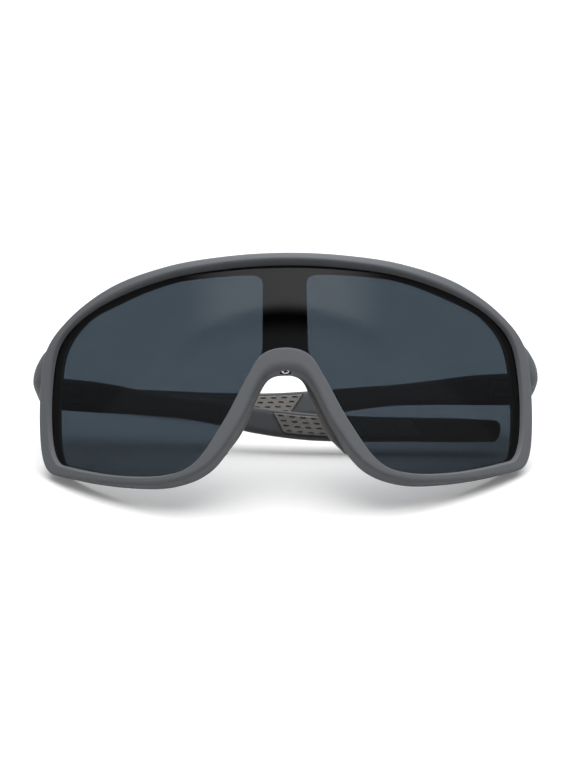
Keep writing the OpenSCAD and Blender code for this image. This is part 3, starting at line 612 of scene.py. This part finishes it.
def window_outline():
    """A window of the mask on the left side, seen from the front: the lens opening less its
    border, cut along the centre bar, with the two corners there rounded."""
    share = np.linspace(0, 1, half_count + 1)
    border = np.interp(share, BORDER_SHARES, BORDER_WIDTHS)[:, None]
    edge = lens_edge(-border)
    bar = BAR_HALF + BAR_FLARE * (1 - edge[:, 1] / FRONT_H)
    inside = np.flatnonzero(edge[:, 0] > bar)
    path = edge[inside[0]:inside[-1] + 1]
    top = np.array([bar[inside[0]], path[0, 1]])
    low = np.array([bar[inside[-1]], path[-1, 1]])
    t = np.linspace(0, 1, 2 * ARC_STEPS)[:, None]

    def corner(point, other, path):
        """The curve that rounds a corner of the bar, and the rest of the path after it."""
        walked = np.linalg.norm(path - point, axis=1)
        rest = path[walked > WINDOW_ROUND]
        line = point + unit(other - point) * WINDOW_ROUND
        curve = (1 - t) ** 2 * line + 2 * t * (1 - t) * point + t ** 2 * rest[0]
        return curve, rest

    curve_top, path = corner(top, low, path)
    curve_low, path = corner(low, top, path[::-1])
    flat = np.vstack([curve_top, path[::-1][1:-1], curve_low[::-1]])
    x = (WRAP_R + LENS_BACK + lens_shift(flat[:, 0])) * np.sin(flat[:, 0] / WRAP_R)
    return np.stack([x, flat[:, 1]], 1)


def circle(radius):
    """Points of a circle."""
    angle = np.arange(ROUND_STEPS) * 2 * math.pi / ROUND_STEPS
    return radius * np.stack([np.cos(angle), np.sin(angle)], 1)


def slot_outline(length, width):
    """A slot with half-round ends, along its first coordinate."""
    angle = np.linspace(-math.pi / 2, math.pi / 2, SLOT_END_STEPS)
    right = np.stack([np.cos(angle), np.sin(angle)], 1) * width / 2
    right[:, 0] += (length - width) / 2
    return np.vstack([right, -right])


def at_height(outline, z):
    """An outline's points, with z as their third coordinate."""
    return np.column_stack([outline, np.full(len(outline), z)])


def slab(outline, low, high):
    """A closed outline pushed up from low to high, as two rings."""
    return np.array([at_height(outline, z) for z in (low, high)])


def lathe(profile):
    """A profile of (radius, height) points turned about Z, as rings; one on the axis is no
    wider than a hair."""
    return np.array([at_height(circle(max(r, AXIS_R)), z) for r, z in profile])


def box_outline(x0, x1, y0, y1):
    """Corners of an upright rectangle."""
    return np.array([[x0, y0], [x1, y0], [x1, y1], [x0, y1]])


def on_screw(points):
    """Points of the bridge screw's own place, +Z up its shank, tilted so that the head looks
    forward and down, and set in the arch."""
    x, y, z = np.moveaxis(points, -1, 0)
    arch_z = outer_half[-1, 1] + RIM_LIP_ROUND * SCREW_UP_SHARE
    arch_y = (RIM_ROUND + BRIDGE_ROUND) * SCREW_IN_SHARE
    return np.stack([x, arch_y + y * math.cos(SCREW_TILT) + z * math.sin(SCREW_TILT),
                     arch_z - y * math.sin(SCREW_TILT) + z * math.cos(SCREW_TILT)], -1)


def on_wing(points, share, side):
    """Points at a wing of the nose piece, on the rim's back face: their X along the wing,
    their Y towards the nose and their Z to the rear."""
    station = round(share * half_count)
    outer = outer_half[station]
    out = unit(outer - inner_half[station])
    along = np.array([out[1], -out[0]])
    x, y, z = np.moveaxis(points, -1, 0)
    flat = outer + x[..., None] * along + y[..., None] * out
    return wrap(flat, -RIM_DEPTH - z) * (MIRROR[side], 1, 1)


def grip_at(along, up):
    """A place on a grip, which follows the temple's middle line and height: along it from its
    near end, and up from -1 at its lower edge to 1 at its upper edge."""
    y = GRIP_START + along - up * GRIP_SLANT / 2
    share = (y - BUTT_GAP) / (TEMPLE_LEN - BUTT_GAP - TIP_LEN)
    at, drop, height, _ = smooth_open(TEMPLE_SHARES, TEMPLE_STEPS).T
    half = GRIP_SHARE * TEMPLE_H / 2 * np.interp(share, at, height)
    return np.stack([y, up * half - TEMPLE_DROP * np.interp(share, at, drop)], -1)


def grip_outline(grow):
    """The grip's outline on the temple's inner face, (along, up), with slanted ends and
    rounded corners, its edge moved out by grow."""
    corners = [[end * GRIP_LEN + (2 * end - 1) * grow, up * (GRIP_HALF + grow)]
               for end, up in ((0, -1), (1, -1), (1, 1), (0, 1))]
    flat = rounded_section(np.array([corners]), [GRIP_CORNER] * 4, GRIP_STEPS)[0]
    return grip_at(flat[:, 0], flat[:, 1] / GRIP_HALF)


def on_inner_face(rings):
    """Turns (along, up, depth) points onto the temple's inner face; depth runs into it."""
    along, up, depth = np.moveaxis(rings, -1, 0)
    return np.stack([PIN_INSET + depth, along, up], -1)


def grip_rings():
    """The rubber grip: a slab let into the temple, its edge at the face rounded by a quarter
    circle."""
    w = np.linspace(0, math.pi / 2, GRIP_EDGE_STEPS)
    grow = np.concatenate([[0, 0], -GRIP_EDGE * (1 - np.cos(w[1:]))])
    depth = np.concatenate([[GRIP_SINK, GRIP_EDGE - GRIP_PROUD],
                            -GRIP_PROUD + GRIP_EDGE * (1 - np.sin(w[1:]))])
    rings = [at_height(grip_outline(g), d) for g, d in zip(grow, depth)]
    return on_inner_face(np.array(rings))


def dash_slabs():
    """Cutters for the grip's dashes, in rows that follow its slanted end."""
    first = DASH_PITCH * DASH_FROM_SHARE
    count = int((GRIP_LEN - first) / DASH_PITCH)
    shape = slot_outline(DASH_LEN, DASH_W)
    slabs = []
    for row in range(DASH_ROWS):
        for i in range(count):
            place = shape + grip_at(first + i * DASH_PITCH, 1 - (2 * row + 1) / DASH_ROWS)
            slabs.append(on_inner_face(slab(place, -GRIP_PROUD - OVER, DASH_D - GRIP_PROUD)))
    return slabs


def skin(rings, looped=False):
    """Points and faces over a grid of closed sections; a flat face ends an open run."""
    count, size = rings.shape[:2]
    i = np.arange(count if looped else count - 1)[:, None]
    j = np.arange(size)
    k = (j + 1) % size
    n = (i + 1) % count
    quads = np.stack([i * size + j, i * size + k, n * size + k, n * size + j], -1)
    faces = quads.reshape(-1, 4).tolist()
    if not looped:
        faces += [j[::-1].tolist(), ((count - 1) * size + j).tolist()]
    return rings.reshape(-1, 3), faces


def volume(points, faces):
    """Six times the volume that the faces close, positive where they point outwards."""
    total = 0.0
    for size in {len(face) for face in faces}:
        group = points[np.array([face for face in faces if len(face) == size])]
        for k in range(1, size - 1):
            total += np.einsum("ij,ij->", group[:, 0], np.cross(group[:, k], group[:, k + 1]))
    return total


def new_object(name, data):
    """An object in the scene, at the origin."""
    made = bpy.data.objects.new(name, data)
    bpy.context.scene.collection.objects.link(made)
    return made


def mesh_object(name, shapes):
    """One object from closed shapes, each (points, faces) in upright millimetres, leant onto
    the table, with its faces outwards."""
    points, faces, start = [], [], 0
    for shape_points, shape_faces in shapes:
        placed = stand(shape_points) * MM
        if volume(placed, shape_faces) < 0:
            shape_faces = [face[::-1] for face in shape_faces]
        points.append(placed)
        faces += [[start + i for i in face] for face in shape_faces]
        start += len(placed)
    mesh = bpy.data.meshes.new(name)
    mesh.from_pydata(np.vstack(points).tolist(), [], faces)
    mesh.update()
    return new_object(name, mesh)


def combine(piece, other, operation):
    """Joins another closed object to a piece or cuts it away, and drops the other."""
    modifier = piece.modifiers.new("combine", "BOOLEAN")
    modifier.operation = operation
    modifier.solver = "EXACT"
    modifier.use_self = False
    modifier.object = other
    graph = bpy.context.evaluated_depsgraph_get()
    result = bpy.data.meshes.new_from_object(piece.evaluated_get(graph))
    piece.modifiers.clear()
    old = piece.data
    piece.data = result
    bpy.data.meshes.remove(old)
    bpy.data.objects.remove(other)


def cut(piece, *shapes):
    """Cuts closed shapes away from a piece."""
    combine(piece, mesh_object("cutter", shapes), "DIFFERENCE")


def mesh_points(piece):
    """The piece's points as an array."""
    co = np.empty(len(piece.data.vertices) * 3)
    piece.data.vertices.foreach_get("co", co)
    return co.reshape(-1, 3)


def rounded_places(piece):
    """The piece's points as tuples, rounded so that the same place is the same tuple."""
    return [tuple(point) for point in np.round(mesh_points(piece), SAME_DIGITS)]


def soften_seam(piece, seam_points):
    """Fillets the seam between two joined shapes: each point near it moves half way to the
    mean of its neighbours, again and again, less with its distance from the seam."""
    points = mesh_points(piece)
    near = np.full(len(points), np.inf)
    for seam in np.array_split(seam_points, max(1, len(seam_points) // SEAM_BLOCK)):
        gap = np.linalg.norm(points[:, None] - seam[None], axis=2).min(1)
        near = np.minimum(near, gap)
    weight = ease(1 - near / (SEAM_REACH * MM))[:, None] / 2
    edges = np.empty(len(piece.data.edges) * 2, int)
    piece.data.edges.foreach_get("vertices", edges)
    first, second = edges.reshape(-1, 2).T
    count = np.bincount(edges, minlength=len(points))[:, None]
    for _ in range(SEAM_PASSES):
        total = np.zeros_like(points)
        np.add.at(total, first, points[second])
        np.add.at(total, second, points[first])
        points += weight * (total / count - points)
    piece.data.vertices.foreach_set("co", points.ravel())
    piece.data.update()


def finish_piece(piece, body, material, node, angle=SOFT_ANGLE):
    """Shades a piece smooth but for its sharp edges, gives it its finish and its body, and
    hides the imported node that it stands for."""
    piece.data.shade_smooth()
    piece.data.set_sharp_from_angle(angle=math.radians(angle))
    piece.data.materials.clear()
    piece.data.materials.append(material)
    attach(piece, body)
    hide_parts(node)


class Wire:
    """A node's socket that takes part in arithmetic: an expression adds its Math nodes."""

    def __init__(self, graph, socket):
        self.graph = graph
        self.socket = socket

    def math(self, operation, *values):
        """A Math node on values or wires."""
        return self.graph.node("ShaderNodeMath", {"operation": operation},
                               dict(enumerate(values)))

    def __add__(self, other):
        return self.math("ADD", self, other)

    def __rsub__(self, other):
        return self.math("SUBTRACT", other, self)

    def __mul__(self, other):
        return self.math("MULTIPLY", self, other)

    def __pow__(self, other):
        return self.math("POWER", self, other)

    def __abs__(self):
        return self.math("ABSOLUTE", self)

    def clamp(self):
        return self.graph.node("ShaderNodeClamp", {}, {0: self})

    __radd__ = __add__
    __rmul__ = __mul__


class Graph:
    """The node tree of a material or of the world."""

    def __init__(self, owner):
        owner.use_nodes = True
        self.tree = owner.node_tree
        self.tree.nodes.clear()

    def node(self, kind, settings=None, sockets=None, output=0):
        """Adds a node: its settings first, then a value or a link for each socket, by its
        name or number. It gives back one of the node's outputs."""
        made = self.tree.nodes.new(kind)
        for name, value in (settings or {}).items():
            setattr(made, name, value)
        for name, value in (sockets or {}).items():
            if isinstance(value, Wire):
                self.tree.links.new(value.socket, made.inputs[name])
            else:
                made.inputs[name].default_value = value
        return Wire(self, made.outputs[output] if made.outputs else None)

    def where(self):
        """The piece's own coordinates, in metres."""
        return self.node("ShaderNodeTexCoord", output="Object")

    def noise(self, where, scale, detail=2.0, roughness=0.5):
        """A cloudy pattern between 0 and 1, with so many waves to a metre."""
        return self.node("ShaderNodeTexNoise", {},
                         {"Vector": where, "Scale": scale, "Detail": detail,
                          "Roughness": roughness})

    def mix_color(self, share, a, b):
        """Colour a where the share is 0, and colour b where it is 1. Several sockets of this
        node share a name: 6 and 7 are its colours, and 2 is the colour that it gives."""
        return self.node("ShaderNodeMix", {"data_type": "RGBA"}, {0: share, 6: a, 7: b}, 2)

    def paint_nook_shade(self, base, dark, reach, power):
        """Painted shade: the base colour, turned dark where other surfaces stand within reach.
        """
        unshaded_share = self.node("ShaderNodeAmbientOcclusion", {"samples": SHADE_RAYS},
                         {"Distance": reach}, "AO")
        return self.mix_color(unshaded_share ** power, dark, base)

    def bump(self, height, strength, distance):
        """A normal tilted by the slopes of a pattern, taken as a height."""
        return self.node("ShaderNodeBump", {},
                         {"Height": height, "Strength": strength, "Distance": distance})

    def surface(self, shader):
        """Ends a material's tree in its shader."""
        self.node("ShaderNodeOutputMaterial", {}, {"Surface": shader})

    def principled(self, sockets):
        """Ends a material's tree in a Principled shader."""
        self.surface(self.node("ShaderNodeBsdfPrincipled", {}, sockets))


def new_material(name):
    """A material and its node tree."""
    material = bpy.data.materials.new(name)
    return material, Graph(material)


def tone(color, share=1):
    """A colour made lighter or darker, with its opacity."""
    return [c * share for c in color] + [1]


def moulded_plastic(name, color):
    """Matte moulded plastic: a fine spark-eroded grain, a faint cloudiness of colour, and
    painted shade in its nooks, darker where other surfaces stand near."""
    material, graph = new_material(name)
    where = graph.where()
    grain = graph.noise(where, GRAIN_WAVES, FINE_DETAIL, FINE_ROUGH)
    cloud = graph.noise(where, PLASTIC_CLOUD_WAVES, FINE_DETAIL)
    dark, light = (tone(color, share) for share in PLASTIC_TONES)
    blotch = cloud * PLASTIC_CLOUD_SHARE + grain * (1 - PLASTIC_CLOUD_SHARE)
    base = graph.mix_color(blotch.clamp(), dark, light)
    # Painted shade: the colour darkens where other surfaces stand near, as in the rim's recess
    base = graph.paint_nook_shade(base, tone(color, PLASTIC_SHADE_TONE), PLASTIC_SHADE_REACH,
                              PLASTIC_SHADE_POWER)
    rough = PLASTIC_ROUGH + grain * PLASTIC_GRAIN_ROUGH + cloud * PLASTIC_CLOUD_ROUGH
    graph.principled({"Base Color": base, "Roughness": rough, "IOR": PLASTIC_IOR,
                      "Normal": graph.bump(grain, *GRAIN_BUMP)})
    return material


def soft_rubber(name, color):
    """Soft rubber: warm grey, satin, with a dusty sheen and a very fine skin."""
    material, graph = new_material(name)
    where = graph.where()
    fine_skin = graph.noise(where, RUBBER_SKIN_WAVES)
    cloud = graph.noise(where, RUBBER_CLOUD_WAVES)
    dark, light = (tone(color, share) for share in RUBBER_TONES)
    graph.principled({
        "Base Color": graph.mix_color(cloud, dark, light), "IOR": RUBBER_IOR,
        "Roughness": RUBBER_ROUGH + fine_skin * RUBBER_SKIN_ROUGH,
        "Sheen Weight": RUBBER_SHEEN, "Normal": graph.bump(fine_skin, *RUBBER_SKIN_BUMP)})
    return material


def smoke_lens_finish():
    """Polished smoke lens: it passes a blue-grey share of the light at each face, and
    reflects more the more it is seen at a slant: 0.05 + 0.95 (1 - cos)^5."""
    material, graph = new_material("smoke_lens")
    facing = graph.node("ShaderNodeLayerWeight", {}, {"Blend": 0.5}, "Facing")
    share = LENS_GLARE + (1 - LENS_GLARE) * facing ** 5
    clear = graph.node("ShaderNodeBsdfTransparent", {}, {"Color": LENS_PASSES})
    gloss = graph.node("ShaderNodeBsdfAnisotropic", {},
                       {"Color": WHITE, "Roughness": LENS_ROUGH})
    graph.surface(graph.node("ShaderNodeMixShader", {}, {0: share, 1: clear, 2: gloss}))
    return material


def printed_black():
    """Gloss black ink on the back of the lens, with a faint orange-peel."""
    material, graph = new_material("lens_print")
    peel = graph.noise(graph.where(), INK_PEEL_WAVES)
    graph.principled({
        "Base Color": INK_COLOR, "Roughness": INK_ROUGH + peel * INK_PEEL_ROUGH,
        "Normal": graph.bump(peel, *INK_PEEL_BUMP)})
    return material


def worked_metal(name, color, lay_scale):
    """Turned or brushed metal: fine lines that vary the roughness and the surface, closer
    together along an axis by its number in lay_scale, and painted shade in slots and corners."""
    material, graph = new_material(name)
    where = graph.where()
    squeezed = graph.node("ShaderNodeMapping", {}, {"Vector": where, "Scale": lay_scale})
    lines = graph.noise(squeezed, METAL_LINE_WAVES, FINE_DETAIL, FINE_ROUGH)
    stain = graph.noise(where, METAL_STAIN_WAVES)
    base = graph.mix_color(stain, tone(color, METAL_STAIN_TONE), tone(color))
    # Painted shade: nearly black where other surfaces stand close, as in the screw's slot
    base = graph.paint_nook_shade(base, tone(color, METAL_SHADE_TONE), METAL_SHADE_REACH,
                              METAL_SHADE_POWER)
    rough = METAL_ROUGH + lines * METAL_LINE_ROUGH
    graph.principled({"Base Color": base, "Metallic": 1.0, "Roughness": rough,
                      "Normal": graph.bump(lines, *METAL_LINE_BUMP)})
    return material


plastic = moulded_plastic("frame_plastic", [0.150, 0.159, 0.173])
# The temples' plastic is the frame's grey made darker: painted shade for the shadow they lie in
# behind the front
temple_plastic = moulded_plastic("temple_plastic", [0.105, 0.11, 0.12])
nose_rubber = soft_rubber("nose_rubber", [0.20, 0.195, 0.185])
grip_rubber = soft_rubber("grip_rubber", [0.26, 0.25, 0.235])
lens_finish = smoke_lens_finish()
lens_ink = printed_black()
hinge_steel = worked_metal("hinge_steel", [0.55, 0.55, 0.54], (1, 8, 1))
screw_steel = worked_metal("screw_steel", [0.62, 0.61, 0.59], (1, 1, 6))
brass = worked_metal("insert_brass", [0.6, 0.45, 0.2], (1, 1, 6))


def hinge_pocket(side, fold, start, end):
    """Cutters for a hinge in a lug or a temple: a slot for the leaf and a round room for the
    barrel, in the hinge's own place."""
    half = STACK_H / 2 + HINGE_CLEAR
    leaf = slab(box_outline(-BARREL_R, PIN_INSET + LEAF_T + FIT, start, end), -half, half)
    room = slab(circle(BARREL_R + HINGE_CLEAR), -half, half + PIN_HEAD_H)
    return [skin(on_hinge(shape, side, fold)) for shape in (leaf, room)]


def make_front():
    """The moulded front: rim and lugs in one, their seams filleted, then the pockets for the
    hinges and the recess for the bridge screw cut in."""
    front = mesh_object("front_shell", [skin(rim_rings(), looped=True)])
    for side in MIRROR:
        lug = mesh_object("lug", [skin(lug_rings(side))])
        before = {*rounded_places(front), *rounded_places(lug)}
        combine(front, lug, "UNION")
        seam = np.array([place not in before for place in rounded_places(front)])
        soften_seam(front, mesh_points(front)[seam])
    for side in MIRROR:
        for shape in hinge_pocket(side, 0, -LEAF_FRONT_LEN - HINGE_CLEAR, OVER):
            cut(front, shape)
    seat = RIM_LIP_ROUND + SCREW_HEAD_H
    cut(front, skin(on_screw(slab(circle(SCREW_RECESS_D / 2), -SCREW_RECESS_OUT, seat))))
    finish_piece(front, "front", plastic, "front_frame")


def make_lens():
    """The smoke lens, whole."""
    rings = sheet_rings(GROOVE_D - GROOVE_CLEAR, -LENS_RECESS, LENS_BACK)
    lens = mesh_object("lens_shield", [skin(rings)])
    finish_piece(lens, "front", lens_finish, "lens")


def make_mask():
    """The printed mask behind the lens: a thin sheet with its two windows cut out."""
    back = LENS_BACK - FIT
    sheet = skin(sheet_rings(-GROOVE_CLEAR, back, back - MASK_T))
    mask = mesh_object("lens_mask_print", [sheet])
    x, z = window_outline().T
    for mirror in MIRROR.values():
        rings = [np.stack([mirror * x, np.full(len(x), y), z], 1) for y in (-OVER, WRAP_R)]
        cut(mask, skin(np.array(rings)))
    finish_piece(mask, "front", lens_ink, "lens_mask")


def make_nose_piece():
    """The rubber saddle with domed wing tips and its relief slots."""
    nose = mesh_object("nose_saddle", [skin(round_ends(nose_rings(), NOSE_END_ROUND))])
    outline = slot_outline(NOSE_SLOT_LEN, NOSE_SLOT_W)
    slots = []
    for side, mirror in MIRROR.items():
        face = nose_reach(mirror) - (NOSE_IN + NOSE_FLARE) * NOSE_SLOT_IN_SHARE
        x, z, y = np.moveaxis(slab(outline, face - NOSE_SLOT_D, face + NOSE_WALL), -1, 0)
        slot = np.stack([x, y, z + NOSE_DEPTH * NOSE_SLOT_BACK_SHARE], -1)
        slots += [skin(on_wing(slot, share, side)) for share in NOSE_SLOT_SHARES]
    cut(nose, *slots)
    finish_piece(nose, "front", nose_rubber, "nose_piece")


def make_bridge_screw():
    """The screw under the arch: a head with a rolled edge and a crossed slot, on its shank."""
    low = RIM_LIP_ROUND
    seat = low + SCREW_HEAD_H
    end = seat + SCREW_LEN
    head = SCREW_HEAD_D / 2
    shank = SCREW_SHANK_D / 2
    edge = head * SCREW_EDGE_SHARE
    rolled = [(head - edge + edge * math.sin(w), low + edge - edge * math.cos(w))
              for w in np.linspace(0, math.pi / 2, SCREW_EDGE_STEPS)]
    profile = [(0, low), *rolled, (head, seat), (shank, seat), (shank, end), (0, end)]
    screw = mesh_object("bridge_screw_head", [skin(on_screw(lathe(profile)))])
    arm = SCREW_HEAD_D * SLOT_ARM_SHARE
    half = SCREW_HEAD_D * SLOT_HALF_SHARE
    floor = low + SCREW_HEAD_H * SLOT_DEEP_SHARE
    turn = np.array([[math.cos(SLOT_TURN), math.sin(SLOT_TURN)],
                     [-math.sin(SLOT_TURN), math.cos(SLOT_TURN)]])
    for x, y in ((arm, half), (half, arm)):
        cut(screw, skin(on_screw(slab(box_outline(-x, x, -y, y) @ turn, low - OVER, floor))))
    finish_piece(screw, "front", screw_steel, "bridge_screw", CRISP_ANGLE)


def make_temple(side):
    """A temple: its bar, with the hinge pocket and the seat of the grip cut in."""
    fold = FOLD[side]
    arm = mesh_object("temple_bar_" + side, [skin(on_hinge(temple_rings(), side, fold))])
    for shape in hinge_pocket(side, fold, -OVER, LEAF_TEMPLE_LEN + HINGE_CLEAR):
        cut(arm, shape)
    seat = on_inner_face(slab(grip_outline(GRIP_SEAM), -OVER, GRIP_SINK))
    cut(arm, skin(on_hinge(seat, side, fold)))
    finish_piece(arm, "temple_" + side, temple_plastic,
                 "temple_arm_" + side)


def make_grip(side):
    """A temple's rubber grip, with its rows of dashes."""
    fold = FOLD[side]
    grip = mesh_object("temple_pad_" + side, [skin(on_hinge(grip_rings(), side, fold))])
    cut(grip, *(skin(on_hinge(rings, side, fold)) for rings in dash_slabs()))
    finish_piece(grip, "temple_" + side, grip_rubber, "temple_grip_" + side,
                 CRISP_ANGLE)


def dress_metal():
    """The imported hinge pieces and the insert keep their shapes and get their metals."""
    metals = {"leaf": hinge_steel, "rivets": hinge_steel, "hinge_screw": screw_steel,
              "bridge_insert": brass}
    for name, node in frame["nodes"].items():
        for word, metal in metals.items():
            if word in name:
                node.data.materials.clear()
                node.data.materials.append(metal)


def make_floor():
    """A white table: matte white, lifted a little where it is seen, also in gloss and
    through the lens, so that only the soft shadow shows, and greyer in the light that it
    throws back."""
    points = at_height(box_outline(-FLOOR_HALF, FLOOR_HALF, -FLOOR_HALF, FLOOR_HALF), 0)
    mesh = bpy.data.meshes.new("table_top")
    mesh.from_pydata(points.tolist(), [], [list(range(len(points)))])
    floor = new_object("table_top", mesh)
    material, graph = new_material("table_white")
    to_camera, to_gloss, through = (
        graph.node("ShaderNodeLightPath", output=ray)
        for ray in ("Is Camera Ray", "Is Glossy Ray", "Is Transmission Ray"))
    seen = (to_camera + to_gloss + through).clamp()
    white = graph.mix_color(seen, FLOOR_BACK, FLOOR_SEEN)
    matte = graph.node("ShaderNodeBsdfDiffuse", {}, {"Color": white})
    lift = graph.node("ShaderNodeEmission", {},
                      {"Color": WHITE, "Strength": seen * FLOOR_LIFT})
    graph.surface(graph.node("ShaderNodeAddShader", {}, {0: matte, 1: lift}))
    mesh.materials.append(material)


def make_world():
    """A studio: a large soft lamp above and a little behind, in a dim grey room, and a
    smaller panel above the camera that the lens mirrors. The lit ceiling ends at a dark gap
    over the camera, as wide as the panel."""
    world = bpy.data.worlds.new("studio")
    bpy.context.scene.world = world
    graph = Graph(world)
    way = graph.node("ShaderNodeTexCoord", output="Generated")

    def along(direction):
        """The cosine between a way out of the scene and a direction."""
        return graph.node("ShaderNodeVectorMath", {"operation": "DOT_PRODUCT"},
                          {0: way, 1: tuple(unit(np.array(direction)))}, "Value")

    def ramp(value, start, end):
        """3t^2 - 2t^3, with t from 0 at the start to 1 at the end."""
        return graph.node("ShaderNodeMapRange", {"interpolation_type": "SMOOTHSTEP"},
                          {"Value": value, "From Min": start, "From Max": end,
                           "To Min": 0.0, "To Max": 1.0})

    lamp = ramp(along(LAMP_WAY), *LAMP_RANGE) * LAMP_LIGHT
    panel = ramp(along(PANEL_WAY), *PANEL_RANGE) * PANEL_LIGHT
    past_ceiling = along(CEILING_WAY)
    below = ramp(past_ceiling, *CEILING_RANGE)
    beyond = ramp(past_ceiling, *GAP_END_RANGE)
    beside = ramp(abs(along((1, 0, 0))), *GAP_SIDE_RANGE)
    gap = below * (1 - beyond) * (1 - beside)
    light = (ROOM_LIGHT + lamp + panel * (1 - below) + below * BELOW_LIGHT) * (1 - gap)
    background = graph.node("ShaderNodeBackground", {}, {"Color": WHITE, "Strength": light})
    graph.node("ShaderNodeOutputWorld", {}, {"Surface": background})


def make_camera():
    """The photograph's view: a long lens about 20 degrees above the glasses, turned a little
    about its own axis."""
    mark = stand(np.array([0, 0, MARK_Z])) * MM
    back = np.array([0, -math.cos(CAMERA_HEIGHT), math.sin(CAMERA_HEIGHT)])
    right = np.array([1.0, 0, 0])
    up = np.cross(back, right)
    away = (CENTRE_PX - MARK_PX) / FOCAL_PX * CAMERA_DISTANCE
    place = mark + back * CAMERA_DISTANCE
    aim = mark + right * away[0] - up * away[1]
    look = unit(aim - place)
    side = unit(np.cross(look, up))
    top = np.cross(side, look)
    turned_side = side * math.cos(CAMERA_ROLL) - top * math.sin(CAMERA_ROLL)
    turned_top = top * math.cos(CAMERA_ROLL) + side * math.sin(CAMERA_ROLL)
    data = bpy.data.cameras.new("camera")
    data.sensor_width = SENSOR_WIDTH
    data.lens = FOCAL_PX / LONG_SIDE_PX * SENSOR_WIDTH
    camera = new_object("camera", data)
    placed = np.column_stack([turned_side, turned_top, -look, place])
    camera.matrix_world = Matrix([*placed.tolist(), [0, 0, 0, 1]])
    bpy.context.scene.camera = camera


make_camera()
make_front()
make_lens()
make_mask()
make_nose_piece()
make_bridge_screw()
for wearer_side in MIRROR:
    make_temple(wearer_side)
    make_grip(wearer_side)
dress_metal()
make_floor()
make_world()
bpy.context.scene.view_settings.view_transform = "Standard"
